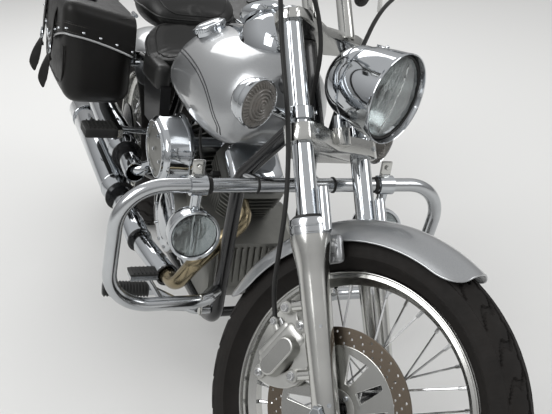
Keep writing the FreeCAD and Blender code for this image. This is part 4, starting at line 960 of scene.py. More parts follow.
def fender_surface(axle, inner_r, half, skirt, front, rear):
    """Wheel cover as a closed sheet with rounded ends and a rolled edge, from front to rear in degrees from the top."""
    wall, bead, corner, flat_part = 3.5, 2.2, 60, 0.55
    start, sweep = math.radians(90 - front), math.radians(front + rear)
    reach = corner / inner_r
    rows = [(reach * (1 - math.cos(t)), flat_part + (1 - flat_part) * math.sin(t)) for t in
            (math.pi / 2 * i / 8 for i in range(9))]
    rows += [(reach + (sweep - 2 * reach) * i / 60, 1.0) for i in range(1, 60)]
    rows += [(sweep - turned, part) for turned, part in rows[8::-1]]
    edge_r = inner_r - skirt

    def across(grow, turned, part):
        """Section at an angle, thicker by grow, cut to a part of its width."""
        line = arc_points((half + grow, edge_r), (0, inner_r + grow), (-half - grow, edge_r), 40)
        found = []
        for k in range(25):
            at = 20 + part * (k - 12) * 20 / 12
            i = min(39, int(at))
            y, r = (line[i][j] + (line[i + 1][j] - line[i][j]) * (at - i) for j in (0, 1))
            found.append(axle + Vector((r * math.cos(start + turned), y, r * math.sin(start + turned))))
        return found

    shell = loft([across(0, *row) + across(wall, *row)[::-1] for row in rows])
    edge = [across(wall / 2, *row) for row in rows]
    outline = [row[0] for row in edge] + edge[-1][1:-1] + [row[-1] for row in reversed(edge)] + edge[0][-2::-1]
    return [shell, tube(outline, bead, 10)]


def front_cover():
    """Front wheel cover with its brackets."""
    shapes = fender_surface(FRONT_AXLE, inner_r=347.0, half=58.0, skirt=40, front=18, rear=80)
    make("front_cover", shapes, FORK, silver_paint, "fork", ("front_fender",))
    plates = []
    for side in (-1, 1):
        y0, y1 = sorted((side * 60, side * 80))
        plates.append(rounded_box((FORK_OFFSET - 38, y0, 262), (FORK_OFFSET + 42, y1, 316), 9.5, (8, 6, 8)))
        plates.append(spun([(0.01, 4), (8, 3.8), (11, 2.4), (12, 0), (12, -2), (0.01, -2)],
                           (FORK_OFFSET + 24, side * 80, 292), (0, side, 0), 28))
        plates.append(bolt((FORK_OFFSET + 24, side * 80, 270), (0, side, 0), 5, 4))
    make("front_cover_brackets", plates, ON_FORK, silver_paint, "fork")


def aimed(place, centre, way=(1, 0, 0), axis=(1, 0, 0)):
    """Frame at a centre with one of its axes along a way; a lamp's x axis looks out of its lens."""
    turned = Vector(axis).rotation_difference(Vector(way)).to_matrix().to_4x4()
    return place @ Matrix.Translation(Vector(centre)) @ turned


def rim_bead(r, width, proud):
    """Rolled ring round a lamp's lens."""
    return [(r - width / 2 + (width / 2) * math.cos(a), proud * math.sin(a)) for a in
            (2 * math.pi * k / 14 for k in range(14))]


def headlamp():
    """Chrome headlight: rear bucket, flared front shell, gasket, reflector, bulb and fluted glass."""
    at = aimed(FORK, FORK_LOCAL @ Vector((FORK_OFFSET + 147, 0, 562)))
    quarter = [k * math.pi / 2 / 12 for k in range(13)]
    bucket = [(0.01, -150)] + [(6 + 68 * math.sin(t), -88 - 62 * math.cos(t)) for t in quarter]
    step = [(74, -86), (71, -84), (71, -80.5), (76.5, -79.5)]
    flare = [(78, -74), (81.5, -58), (85, -38), (87.5, -18), (89.4, -4), (90.2, 0.5), (90, 3), (89, 4), (87.8, 3)]
    mouth = [(86.4, -2), (84.8, -8), (83, -15), (79.5, -19), (78, -50), (58, -72), (0.01, -76)]
    make("headlight_bowl", [turn(bucket + step + flare + mouth, 96, "X", False)], at, chrome, "fork",
         ("headlight_shell",))
    make("headlight_gasket", [spun(rim_bead(84.4, 5, 2.6), (-9, 0, 0), (1, 0, 0), 72, True)], at, black_rubber,
         "fork")
    dish = [(12 + 67 * t, -66 + 52 * t * t) for t in (k / 14 for k in range(15))]
    dish += [(r + 0.4, x - 1.4) for r, x in reversed(dish)]
    make("headlight_reflector", [turn(dish, 64, "X")], at, mirror_coat, "fork")
    bulb = [(0.01, -26), (5, -27), (8, -32), (8.5, -42), (8, -54), (12, -58), (12, -70), (0.01, -70)]
    make("headlight_bulb", [turn(bulb, 24, "X", False)], at, clear_glass, "fork")
    make("headlight_glass", [fluted_lens(81, 9, 17, 96)], at @ Matrix.Translation((-9.5, 0, 0)), clear_glass,
         "fork", ("headlight_lens",))
    make("headlight_foot", [tube([(70, 0, 531), (70, 0, 556)], [14, 13], 32)], ON_FORK, chrome, "fork")
    trim = [spun([(0.01, 0), (4.2, 0), (4.2, 5), (3.2, 6.4), (0.01, 6.8)], (-64, 0, 80), (0.12, 0, 1), 16),
            rounded_box((-84, -7, 74), (-58, 7, 82), 2, (4, 4, 3)), bolt((-22, 0, -90), (0.1, 0, -1), 3.6, 4, 12)]
    make("headlight_fittings", trim, at, chrome, "fork")


def backed_lens(points, r, steps, depth):
    """Rows of points closed by a side wall and a flat back."""
    rows = len(points) // steps + 1
    points = points + [(-depth, y, z) for y, z in circle(r, steps)]
    return points, row_faces(rows, steps) + [tuple((rows - 1) * steps + k for k in range(steps))]


def ringed_lens(r, rings, high):
    """Domed lens with concentric ripples inside a band of short radial ribs."""
    points = []
    rows, steps = rings * 8, 144
    for i in range(rows + 1):
        t = i / rows
        for k in range(steps):
            a = 2 * math.pi * k / steps
            proud = 3.2 * abs(math.sin(math.pi * t * rings * 1.15)) if t < 0.74 else 2.8 * (k % 4 < 2) * (t < 0.95)
            points.append((high * (1 - t * t) + proud, max(0.01, r * t) * math.cos(a), max(0.01, r * t) * math.sin(a)))
    return backed_lens(points, r, steps, 3.0)


def signal_lamps():
    """Front turn signals: chrome bowls on stalks, with smoked ringed lenses over a reflector and an amber bulb."""
    at = FORK_LOCAL @ Vector((FORK_OFFSET - 10, 0, 543))
    quarter = [k * math.pi / 2 / 10 for k in range(11)]
    bowl = [(0.01, -44)] + [(10 + 33 * math.sin(t), -12 - 32 * math.cos(t)) for t in quarter]
    bowl += [(45.5, -9), (46.5, -5), (46.5, 2), (45, 4), (43.4, 2), (43.4, -3.8), (0.01, -3.8)]
    dish = [(0.01, -3.2), (12, -3.0), (30, -1.8), (42, 0.6), (42, -3.4), (0.01, -3.4)]
    bulb = [(0.01, 4.5), (6, 3.6), (9, 1), (9.5, -3.0), (0.01, -3.0)]
    clamps_on = []
    for side, word in SIDES:
        place = aimed(FORK, (at.x, side * 233, at.z))
        bowls, lenses = (("front_signals",), ("front_signal_lenses",)) if side < 0 else ((), ())
        make(word + "_signal_bowl", [turn(bowl, 64, "X", False)], place, chrome, "fork", bowls)
        make(word + "_signal_dish", [turn(dish, 48, "X", False)], place, mirror_coat, "fork")
        make(word + "_signal_bulb", [turn(bulb, 24, "X", False)], place, amber_lens, "fork")
        lens_at = place @ Matrix.Translation((2.4, 0, 0))
        make(word + "_signal_lens", [ringed_lens(43, 6, 9)], lens_at, smoked_lens, "fork", lenses)
        clamps_on.append(band((FORK_OFFSET, side * LEG_Y, 531), (0, 0, 1), 20.8, 27, 24))
        clamps_on.append(tube([(FORK_OFFSET - 16, side * (LEG_Y + 18), 543), (FORK_OFFSET - 20, side * 160, 545),
                               (FORK_OFFSET - 22, side * 199, 549)], [11, 8.5, 8], 24))
        clamps_on.append(bolt((FORK_OFFSET + 26, side * (LEG_Y - 10), 543), (1, -side * 0.4, 0), 4, 5))
    make("signal_clamps", clamps_on, ON_FORK, chrome, "fork")


def fluted_lens(r, high, flutes, steps):
    """Domed lens with upright flutes across its face."""
    points = []
    rows = 12
    for i in range(rows + 1):
        t = i / rows
        for k in range(steps):
            a = 2 * math.pi * k / steps
            y, z = r * t * math.cos(a), r * t * math.sin(a)
            ripple = 1.4 * abs(math.sin(math.pi * y * flutes / (2 * r))) * (t < 0.97)
            points.append((high * (1 - t * t) + ripple, y, z))
    return backed_lens(points, r, steps, 3.5)


def spot_lights():
    """Two spot lamps with fluted glass that hang from the guard."""
    skin("spot_lamps", chrome)
    for side, word in SIDES:
        place = aimed(CHASSIS, (1252, side * 212, 520))
        make(word + "_spot_rim", [turn(rim_bead(54.6, 8, 6), 56, "X")], place, chrome, "chassis")
        bowl = [(8 + 41 * t, -30 + 26 * t * t) for t in (k / 10 for k in range(11))]
        wall = bowl + [(r + 0.5, x - 1.2) for r, x in reversed(bowl)]
        make(word + "_spot_reflector", [turn(wall, 48, "X")], place, mirror_coat, "chassis")
        stands = ("spot_lenses",) if side < 0 else ()
        make(word + "_spot_glass", [fluted_lens(49.5, 9, 11, 72)], place, clear_glass, "chassis", stands)


def ribbed_grips():
    """Rubber grips with raised rings."""
    skin("grips", black_rubber)
    half = [BAR_CENTRE + Vector(p) for p in ((0, 0, 0), (0, 100, 0), (-20, 200, 60), (-165, 405, 22))]
    for side, word in SIDES:
        end, before = (Vector((p.x, side * p.y, p.z)) for p in (half[-1], half[-2]))
        way = (end - before).normalized()
        place = aimed(FORK, end, way, (0, 1, 0))
        rib = turn([(17.0, -1.6), (17.9, -1.0), (17.9, 1.0), (17.0, 1.6), (16.4, 0)], 28)
        repeated(word + "_grip_ribs", [moved(rib, 0, -100, 0)], place, black_rubber, "fork", 16, 0.0, (0, 6.2, 0))


def bar_controls():
    """Handlebar, levers, switch boxes and mirrors."""
    skin("handlebar", chrome)
    skin("control_levers", polished_alloy, width=1.5)
    skin("mirrors", chrome, width=2.5)
    ribbed_grips()


def control_cables():
    """Brake hose, clutch cable and throttle cable as smooth tubes along their CAD routes."""
    f = FORK_OFFSET
    end = BAR_CENTRE + Vector((-165, 405, 22))
    before = BAR_CENTRE + Vector((-20, 200, 60))
    way = (end - before).normalized()
    ahead = way.cross(Vector((0, 0, 1))).normalized()
    up = ahead.cross(way).normalized()
    out = (ahead - way).normalized()
    down = (ahead - up).normalized()
    back = FORK_LOCAL.inverted()
    start = end - way * 144 + out * 42.2
    switch = end - way * 171 + down * 23.2
    left, left_on = back @ start, back @ (start + out * 60)
    box, box_on = back @ switch, back @ (switch + down * 50)

    def flip(p):
        """Point mirrored to the right side."""
        return p.x, -p.y, p.z

    routes = (
        ("brake_hose", [flip(left), flip(left_on), (f + 24, -178, 780), (f + 2, -158, 670), (f + 2, -155, 520),
                        (f - 20, -149, 380), (f - 66, -130, 270), (f - 100, -100, 220), (f - 100, -100, 172)]),
        ("clutch_cable", [tuple(left), tuple(left_on), (f + 70, 130, 800), (f + 44, 64, 690), (f - 4, 48, 600),
                          (f - 30, 46, 540)]),
        ("throttle_cable", [flip(box), flip(box_on), (f + 50, -110, 800), (f + 36, -60, 690), (f - 4, -48, 600),
                            (f - 30, -46, 540)]))
    for number, (name, route) in enumerate(routes):
        curve = bpy.data.curves.new(name, "CURVE")
        curve.dimensions = "3D"
        line = spline(curve, "NURBS", route)
        line.order_u = 3
        line.use_endpoint_u = True
        line.resolution_u = 10
        curve.bevel_depth = 4.6
        curve.bevel_resolution = 4
        curve.use_fill_caps = True
        made = baked(plain_object(name, curve), ON_FORK, name)
        coat(made, black_rubber)
        settle(made, "fork", ("cables",) if number == 0 else ())


def caliper():
    """Cast brake caliper: oblong piston boss, rounded halves, carrier, slide pins, bleed screw and hose joint."""
    tilted = ON_FORK @ Matrix.Translation((-37, 0, 116)) @ Matrix.Rotation(math.radians(-37.6), 4, "Y")
    sections = ((-106, 24), (-114, 22), (-122, 19.5), (-127, 18.6), (-129.2, 17.8), (-130, 16.4))
    boss = loft([racetrack(25, r, y, -8, -9) for y, r in sections])
    shapes = [boss, rounded_box((-54, -115, -27), (54, -84, 27), 13, (14, 8, 12)),
              rounded_box((-46, -113, 10), (46, -50, 34), 9, (12, 12, 6)),
              rounded_box((-48, -70, -24), (48, -50, 28), 8, (12, 6, 10))]
    for s in (-1, 1):
        shapes.append(spun([(0.01, 0), (10, 0), (12, 2), (12, 14), (10, 16), (0.01, 16)], (s * 63, -117, 0), (0, 1, 0)))
        shapes.append(rounded_box((min(s * 44, s * 64), -113, -10), (max(s * 44, s * 64), -101, 10), 4, (4, 4, 4)))
    make("caliper_body", shapes, tilted, cast_alloy, "fork", ("brake_caliper",))
    face = loft([racetrack(25, r, y, -8, -9) for y, r in ((-129.6, 15.2), (-130.4, 15.2), (-130.9, 14.6))])
    make("caliper_boss_face", [face], tilted, polished_alloy, "fork")
    pins = [bolt((s * 63, -117.4, 0), (0, -1, 0), 6.5, 6) for s in (-1, 1)]
    pins += [bolt((s * 63, -118, 0), (0, -1, 0), 3.2, 9, 12) for s in (-1, 1)]
    pins.append(tube([(30, -104, 30), (34, -104, 45)], [5, 3], 12))
    make("caliper_pins", pins, tilted, spoke_steel, "fork", angle=math.radians(25))
    outline = closed_curve([
        (-10, 203), (6, 190), (4, 168), (14, 148), (24, 118), (22, 90), (6, 66), (-10, 50), (-34, 44), (-62, 48),
        (-88, 60), (-102, 76), (-94, 92), (-74, 84), (-50, 72), (-26, 78), (-12, 100), (-14, 140), (-26, 168),
        (-28, 192)])
    upright = ON_FORK @ Matrix.Translation((0, -101, 0)) @ Matrix.Rotation(math.pi / 2, 4, "X")
    flat_plate("caliper_carrier", [outline], 13, upright, cast_alloy, "fork", edge=2.5)
    lugs = [spun([(0.01, 0), (10.5, 0), (12.5, 2), (12.5, 24), (0.01, 24)], (-12, -124, up), (0, 1, 0))
            for up in (66, 190)]
    lugs.append(tube([(-52, -100, 171), (-47, -100, 150)], 7, 20))
    lugs.append(spun([(0.01, 0), (7.5, 0), (8.5, 1), (8.5, 13), (0.01, 13)], (-52, -107, 168), (0, 1, 0)))
    make("caliper_lugs", lugs, ON_FORK, cast_alloy, "fork")
    heads = [bolt((-12, -124.3, up), (0, -1, 0), 7, 6) for up in (66, 190)]
    heads.append(bolt((-52, -107.2, 168), (0, -1, 0), 5.5, 5))
    make("caliper_bolts", heads, ON_FORK, spoke_steel, "fork", angle=math.radians(25))


# The tank.

TANK = ((612, 96, 712, 776, 72, 684), (650, 124, 716, 812, 88, 664), (720, 144, 724, 846, 98, 652),
        (840, 152, 733, 868, 114, 646), (980, 149, 738, 874, 112, 645), (1075, 124, 748, 864, 90, 658),
        (1128, 74, 768, 832, 52, 700))


def tank_ring(x):
    """Outline of the tank at x, from its lower right edge over the top and round the underside."""
    half, wide_z, top, low_half, low = (spline_value(TANK, x, c) for c in range(1, 6))
    mid = ((half * 1.02 + low_half) / 2 + 0.16 * (half - low_half) + 6, (wide_z + low) / 2 - 4)
    side = arc_points((-low_half, low), (-mid[0], mid[1]), (-half, wide_z), 6)
    over = arc_points((-half, wide_z), (0, top), (half, wide_z), 28)
    ring = side[:-1] + over + [(-y, z) for y, z in reversed(side[:-1])]
    under = [(low_half * (1 - 2 * k / 8), low) for k in range(1, 8)]
    return [(x, y, z) for y, z in ring + under]


def tank():
    """Teardrop tank with rounded ends, and its pinstripes."""
    xs = [612 + (1128 - 612) * k / 56 for k in range(57)]
    rings = [tank_ring(x) for x in xs]
    nose, tail = [], []
    for ring, sign, out in ((rings[-1], 1, nose), (rings[0], -1, tail)):
        c = sum((Vector(p) for p in ring), Vector()) / len(ring)
        for k in range(1, 6):
            t = k / 6 * math.pi / 2
            out.append([c + (Vector(p) - c) * math.cos(t) + Vector((sign * 9 * math.sin(t), 0, 0)) for p in ring])
    whole = loft(tail[::-1] + rings + nose)
    make("tank_shell", [whole], CHASSIS, silver_paint, "chassis", ("fuel_tank",))
    pinstripes()


def tank_side(x, z):
    """Point on the tank's right side at x and a height z."""
    edge = tank_ring(x)[:35]
    for (_, y0, z0), (_, y1, z1) in zip(edge, edge[1:]):
        if z0 <= z <= z1:
            t = (z - z0) / (z1 - z0)
            return Vector((x, y0 + (y1 - y0) * t, z))
    return Vector(edge[0] if z < edge[0][2] else edge[-1])


def ribbon(places, shift, width, lift, side):
    """Thin band on the tank's side along (x, z) places, moved sideways by a shift."""
    path = smooth_path([(x, z, 0) for x, z in places], 10)
    sections = []
    for i, p in enumerate(path):
        way = heading(path, i)
        across = Vector((-way.y, way.x, 0))
        ring = []
        low, high = shift - width / 2, shift + width / 2
        for across_by, out in ((low, -0.6), (high, -0.6), (high, lift), (low, lift)):
            q = p + across * across_by
            here = tank_side(q.x, q.y)
            normal = (tank_side(q.x + 2, q.y) - tank_side(q.x - 2, q.y)).cross(
                tank_side(q.x, q.y + 2) - tank_side(q.x, q.y - 2)).normalized()
            normal = normal if normal.y < 0 else -normal
            here = here + normal * out
            ring.append(Vector((here.x, here.y * -side, here.z)))
        sections.append(ring)
    return loft(sections)


STRIPE = ((702, 776), (770, 783), (835, 785), (900, 783), (950, 777), (1000, 762), (1035, 738), (1056, 708),
          (1062, 690), (1054, 672))


def pinstripes():
    """Double pinstripe along each side of the tank."""
    shapes = [ribbon(STRIPE, shift, 3.0, 0.25, side) for side in (-1, 1) for shift in (-3.8, 3.8)]
    make("tank_pinstripes", shapes, CHASSIS, stripe_paint, "chassis")


def console():
    """Chrome speedometer housing with its bezel, dial, ticks, needle and glass, and the trim strip behind it."""
    middle = Vector((976, 0, 856))
    rows, steps = 18, 64
    half = Vector((98, 60, 80))
    rings = []
    for i in range(rows):
        t = math.radians(-42 + 131.5 * i / (rows - 1))
        rings.append([middle + Vector((half.x * math.cos(t) * c, half.y * math.cos(t) * s, half.z * math.sin(t)))
                      for c, s in circle(1.0, steps)])
    strip = []
    for k in range(13):
        t = k / 12
        wide, low, top = 14 + 30 * t, 818 + 32 * t, 844 + 40 * t + 4 * math.sin(math.pi * t)
        near = [(-wide, low), (-wide, top - 6), (-wide + 6, top - 1), (-wide * 0.4, top)]
        strip.append([(684 + 216 * t, y, z) for y, z in near + [(-y, z) for y, z in reversed(near)]])
    make("gauge_housing", [loft(rings), loft(strip)], CHASSIS, chrome, "chassis", ("tank_console",))
    place = CHASSIS @ Matrix.Translation(middle) @ Matrix.Rotation(math.radians(-38), 4, "Y")
    bezel = [(44, 62), (50, 66), (53.5, 74), (54, 82), (52, 87), (47.5, 88), (44, 86), (43, 80)]
    dial = [(0.01, 80.6), (43.5, 80.6), (43.5, 78), (0.01, 78)]
    glass = [(0.01, 86.8), (20, 86.3), (44, 84.6), (44, 83.6), (20, 85.2), (0.01, 85.6)]
    make("gauge_bezel", [turn(bezel, 64, "Z")], place, chrome, "chassis")
    make("gauge_dial", [turn(dial, 48, "Z", False)], place, stripe_paint, "chassis")
    make("gauge_glass", [turn(glass, 48, "Z", False)], place, clear_glass, "chassis")
    tick = rounded_box((36.5, -0.6, 80.6), (41.5, 0.6, 81.4), 0.2, (1, 1, 1))
    flat_tick = ([(x, z, -y) for x, y, z in tick[0]], tick[1])
    repeated("gauge_ticks", [flat_tick], place @ Matrix.Rotation(math.pi / 2, 4, "X"), silver_piping, "chassis", 28,
             math.radians(10))
    needle = loft([[(x, -w, 82), (x, w, 82), (x, w, 82.8), (x, -w, 82.8)] for x, w in ((-8, 1.6), (0, 2.2), (34, 0.5))])
    hub = turn([(0.01, 84), (4, 83.6), (5, 82), (5, 81), (0.01, 81)], 20, "Z", False)
    turned = place @ Matrix.Rotation(math.radians(215), 4, "Z")
    make("gauge_needle", [needle, hub], turned, red_lens, "chassis")


def cap():
    """Screwed fuel cap with a milled edge."""
    at = aimed(CHASSIS, (775, -74, 849), along(-0.16, -0.42, 0.89))
    profile = [(0.01, -12), (37, -12), (37, -3), (40, -2), (40.6, 0), (40.6, 7), (39, 9.6), (34, 11.6), (31, 14.2),
               (20, 16.6), (0.01, 17.6)]
    make("fuel_cap_turned", [turn(profile, 72, "X", False)], at, chrome, "chassis", ("fuel_cap",))
    rib = rounded_box((-1, 39.8, -1.3), (8, 41.6, 1.3), 0.5, (1, 1, 1))
    edge = at @ Matrix.Rotation(-math.pi / 2, 4, "Z")
    turned_rib = [(y, x, z) for x, y, z in rib[0]]
    repeated("fuel_cap_milling", [(turned_rib, [f[::-1] for f in rib[1]])], edge, chrome, "chassis", 40,
             math.radians(9))


# Seats.

SEAT_SWELL = 9
RIDER_SEAT = ((600, 78, 60, 700, 750), (550, 122, 100, 684, 722), (490, 152, 128, 672, 716),
              (440, 156, 132, 680, 752), (402, 146, 122, 700, 800))
PASSENGER_SEAT = ((398, 118, 96, 752, 826), (340, 138, 112, 738, 866), (240, 138, 110, 724, 872),
                  (140, 124, 98, 716, 862), (60, 88, 66, 716, 832))


def seat_ring(table, x):
    """Section of a seat at x: flat below, bulging sides, crowned top."""
    steps = 40
    rows = sorted(table)
    half, low_half, low, top = (spline_value(rows, x, c) for c in range(1, 5))
    ring = []
    for k in range(steps):
        a = 2 * math.pi * k / steps
        c, s = math.cos(a), math.sin(a)
        y = math.copysign(abs(c) ** 0.62, c)
        z = math.copysign(abs(s) ** 0.8, s)
        mid = (low + top) / 2 + 4
        wide = half if s > 0 else half + (low_half - half) * (-z) ** 1.5
        ring.append(Vector((x, y * wide, mid + z * ((top - mid) if z > 0 else (mid - low)))))
    return ring


def swollen(made, reach_mm):
    """The cushion blown up a little by a cloth simulation; no point moves further than the given reach."""
    even = made.modifiers.new("even", "REMESH")
    even.mode = "VOXEL"
    even.voxel_size = 0.006
    made = baked(made)
    start = [v.co.copy() for v in made.data.vertices]
    held = made.vertex_groups.new(name="base")
    lowest = {}
    back = CHASSIS.inverted()
    for vertex in made.data.vertices:
        where = back @ vertex.co
        key = round(where.x / 30)
        lowest[key] = min(lowest.get(key, 1e9), where.z)
    held.add([v.index for v in made.data.vertices
              if (back @ v.co).z < lowest[round((back @ v.co).x / 30)] + 12], 1.0, "REPLACE")
    cloth = made.modifiers.new("cloth", "CLOTH")
    cloth.settings.vertex_group_mass = "base"
    cloth.settings.quality = 5
    cloth.settings.use_pressure = True
    cloth.settings.uniform_pressure_force = 4.0
    cloth.settings.effector_weights.gravity = 0.0
    cloth.point_cache.frame_start, cloth.point_cache.frame_end = 1, 20
    for number in range(1, 21):
        bpy.context.scene.frame_set(number)
    seen = made.evaluated_get(bpy.context.evaluated_depsgraph_get())
    moved = [v.co.copy() for v in seen.data.vertices]
    made.modifiers.remove(cloth)
    for vertex, old, new in zip(made.data.vertices, start, moved):
        step = new - old
        vertex.co = old + step * min(1.0, reach_mm * 0.001 / max(step.length, 1e-9))
    bpy.context.scene.frame_set(1)
    finer = made.modifiers.new("finer", "SUBSURF")
    finer.levels = finer.render_levels = 1
    return baked(made)


def seat_body(name, table, node):
    """Padded seat: a crowned form swollen by a cloth simulation, then piped along its sewn edges."""
    rows = sorted(table)
    x0, x1 = rows[0][0], rows[-1][0]
    rings = []
    count = 44
    for k in range(count + 1):
        t = k / count
        x = x0 + (x1 - x0) * (1 - math.cos(math.pi * t)) / 2
        ring = seat_ring(table, min(max(x, x0 + 0.01), x1 - 0.01))
        squeeze = math.sqrt(max(0.0, 1 - abs(2 * t - 1) ** 5))
        centre = sum(ring, Vector()) / len(ring)
        size = (0.3 + 0.7 * squeeze) * 0.965
        rings.append([centre + Vector((0, (p - centre).y, (p - centre).z)) * size for p in ring])
    mesh = joined(name, [loft(rings)])
    mesh.transform(CHASSIS)
    work = bmesh.new()
    work.from_mesh(mesh)
    bmesh.ops.recalc_face_normals(work, faces=work.faces)
    work.to_mesh(mesh)
    work.free()
    made = plain_object(name, mesh)
    made = swollen(made, SEAT_SWELL)
    coat(made, black_vinyl, math.radians(70))
    settle(made, "chassis", (node,))
    n = len(rings[0])
    back = CHASSIS.inverted()
    for word, turn_by in (("skirt", -0.02), ("top", 0.13)):
        index = int(turn_by * n) % n
        other = (n // 2 - int(turn_by * n)) % n
        left = [ring[index] for ring in rings[1:-1]]
        right = [ring[other] for ring in rings[1:-1]]
        loop = left + [left[-1].lerp(right[-1], k / 8) + Vector((8, 0, 0)) for k in range(1, 8)] + right[::-1]
        loop += [right[0].lerp(left[0], k / 8) - Vector((8, 0, 0)) for k in range(1, 8)] + [left[0]]
        path = []
        for p in loop:
            at, normal = made.closest_point_on_mesh(CHASSIS @ p)[1:3]
            path.append(back @ (at + normal * 0.0004))
        make(name + "_" + word + "_piping", [tube(path, (3.2, 2.2)[word == "top"], 8)], CHASSIS, black_vinyl,
             "chassis")


def seats():
    """Both padded seats and the valance below the front one."""
    sides = []
    for side in (-1, 1):
        low, high = sorted((side * 107, side * 149))
        sides.append(rounded_box((430, low, 636), (602, high, 706), 16, (16, 8, 10), (0, 3, 0)))
    make("seat_valance", sides, CHASSIS, black_vinyl, "chassis")
    seat_body("rider_cushion", RIDER_SEAT, "rider_seat")
    seat_body("passenger_cushion", PASSENGER_SEAT, "passenger_seat")


# Saddlebags.

def mirrored(shape, side):
    """The shape for the left side, or its mirror image for the right one."""
    points, faces = shape
    if side > 0:
        return shape
    return [Vector((p[0], -p[1], p[2])) for p in points], [tuple(reversed(f)) for f in faces]


def sheet(name, shape, keep, wall, place, look, body, stands_for=()):
    """Leather or metal sheet: the faces of a shape that pass a test, with a wall inside them."""
    points, faces = shape
    kept = [f for f in faces if keep(sum((Vector(points[i]) for i in f), Vector()) / len(f))]
    mesh = bpy.data.meshes.new(name)
    mesh.from_pydata([place @ Vector(p) for p in points], [], kept)
    work = bmesh.new()
    work.from_mesh(mesh)
    bmesh.ops.remove_doubles(work, verts=work.verts, dist=1e-5)
    bmesh.ops.dissolve_degenerate(work, dist=1e-6, edges=work.edges)
    bmesh.ops.delete(work, geom=[v for v in work.verts if not v.link_faces], context="VERTS")
    work.to_mesh(mesh)
    work.free()
    made = plain_object(name, mesh)
    thick = made.modifiers.new("wall", "SOLIDIFY")
    thick.thickness = wall * 0.001
    thick.offset = -1
    made = baked(made)
    coat(made, look, math.radians(50))
    return settle(made, body, stands_for)


# Fore and aft ends, middle, outer and inner side and mouth height of the bags, then their leather and straps.
BAG_X = (-26.0, 406.0)
BAG_MID = 190.0
BAG_OUT = 366.0
BAG_IN = 167.0
BAG_MOUTH = 778
LEATHER = 4
STRAP_WIDTH = 30.0


def flap_edge(x, y):
    """Height of the lid's lower edge: a shallow V outside, falling inwards on the front and rear faces."""
    if y > BAG_OUT - 14:
        middle = max(0.0, 1 - abs(x - BAG_MID) / 205.0)
        return 731 - 66 * middle ** 1.2
    return 731 - 56 * ((BAG_OUT - y) / (BAG_OUT - BAG_IN)) ** 1.5


def flap_loop(drop, out):
    """Points round the lid at a height above its lower edge and a distance out of its surface."""
    r = 32.0
    low, high = BAG_X
    loop = [(low - out, BAG_IN + 6 + k * (BAG_OUT - r - BAG_IN - 6) / 8) for k in range(9)]
    for centre, start in (((low + r, BAG_OUT - r), 180), ((high - r, BAG_OUT - r), 90)):
        if start == 90:
            loop += [(low + r + k * (high - low - 2 * r) / 16, None) for k in range(1, 16)]
        for k in range(7):
            a = math.radians(start - 15 * k)
            loop.append((centre[0] + (r + out) * math.cos(a), centre[1] + (r + out) * math.sin(a)))
    loop += [(high + out, BAG_OUT - r - k * (BAG_OUT - r - BAG_IN - 6) / 8) for k in range(1, 9)]
    points = []
    for x, y in loop:
        if y is None:
            z = flap_edge(x, BAG_OUT) + drop
            swell = (1 - ((x - BAG_MID) / 216) ** 2) * (1 - ((z - 691) / 131) ** 2)
            y = BAG_OUT + 10 * swell + out
        points.append(Vector((x, y, flap_edge(x, y) + drop)))
    return points


def lid_shape():
    """Domed lid with its top falling inwards and its lower edge cut to the flap's line."""
    points, faces = rounded_box((BAG_X[0], 130, 560), (BAG_X[1], BAG_OUT, 822), 32, (36, 20, 30), (2, 10, 3))
    moved = []
    for p in points:
        fall = 44 * max(0.0, (BAG_OUT - 16 - p.y) / (BAG_OUT - BAG_IN)) * max(0.0, min(1.0, (p.z - 690) / 120))
        z = p.z - fall
        edge = flap_edge(p.x, p.y)
        moved.append(Vector((p.x, p.y, max(z, edge))))
    kept = [f for f in faces if max(points[i].z for i in f) > min(flap_edge(points[i].x, points[i].y) for i in f)]
    return moved, kept


def strap(at_x, flare, twist):
    """Leather strap over the lid's edge; its free end hangs twisted below the buckle and ends in a point."""
    route = smooth_path([(at_x, 262, 808), (at_x, 318, 822), (at_x, 352, 806), (at_x, 373, 770), (at_x, 379, 720),
                         (at_x, 381, 676), (at_x, 384 + flare * 0.2, 646), (at_x, 390 + flare * 0.6, 606),
                         (at_x, 392 + flare, 570), (at_x, 389 + flare, 546)], 5)
    sections = []
    for i, p in enumerate(route):
        way = heading(route, i)
        out = Vector((1, 0, 0)).cross(way).normalized() * 1.9
        out = out if out.y > 0 or out.z > 0.5 else -out
        left = len(route) - 1 - i
        half = STRAP_WIDTH / 2 * min(1.0, 0.12 + left / 6)
        swing = Matrix.Rotation(math.radians(twist) * max(0.0, min(1.0, (650 - p.z) / 60)), 3, way)
        ring = [p + swing @ (Vector((s * half * c, 0, 0)) + out * d) for s, c, d in
                ((-1, 1, 0.3), (-1, 1, 0.7), (-1, 0.92, 1), (1, 0.92, 1), (1, 1, 0.7), (1, 1, 0.3), (1, 0.92, -1),
                 (-1, 0.92, -1))]
        sections.append(ring)
    return loft(sections)


def buckle(at_x, y, z):
    """Rounded wire frame with its bar and tongue, upright on the strap."""
    frame_path = [Vector((at_x + 18 * math.cos(a) * (1 - 0.1 * math.sin(a) ** 2), y, z + 16 * math.sin(a)))
                  for a in (2 * math.pi * k / 24 for k in range(25))]
    return [tube(frame_path, 2.4, 10), tube([(at_x - 17, y, z + 4), (at_x + 17, y, z + 4)], 2.0, 10),
            tube([(at_x, y + 1, z + 4), (at_x, y + 4, z - 6), (at_x, y + 2.4, z - 17)], [2.0, 1.9, 1.4], 10)]


def stud_head(r):
    """Low round stud head."""
    steps, rings = 12, 6
    turns = [math.pi / 2 * k / rings for k in range(1, rings + 1)]
    dome = [(r * math.sin(t), r * 0.62 * math.cos(t)) for t in turns]
    return turn([(0.01, r * 0.62)] + dome + [(0.01, -r * 0.6)], steps, "Y", False)


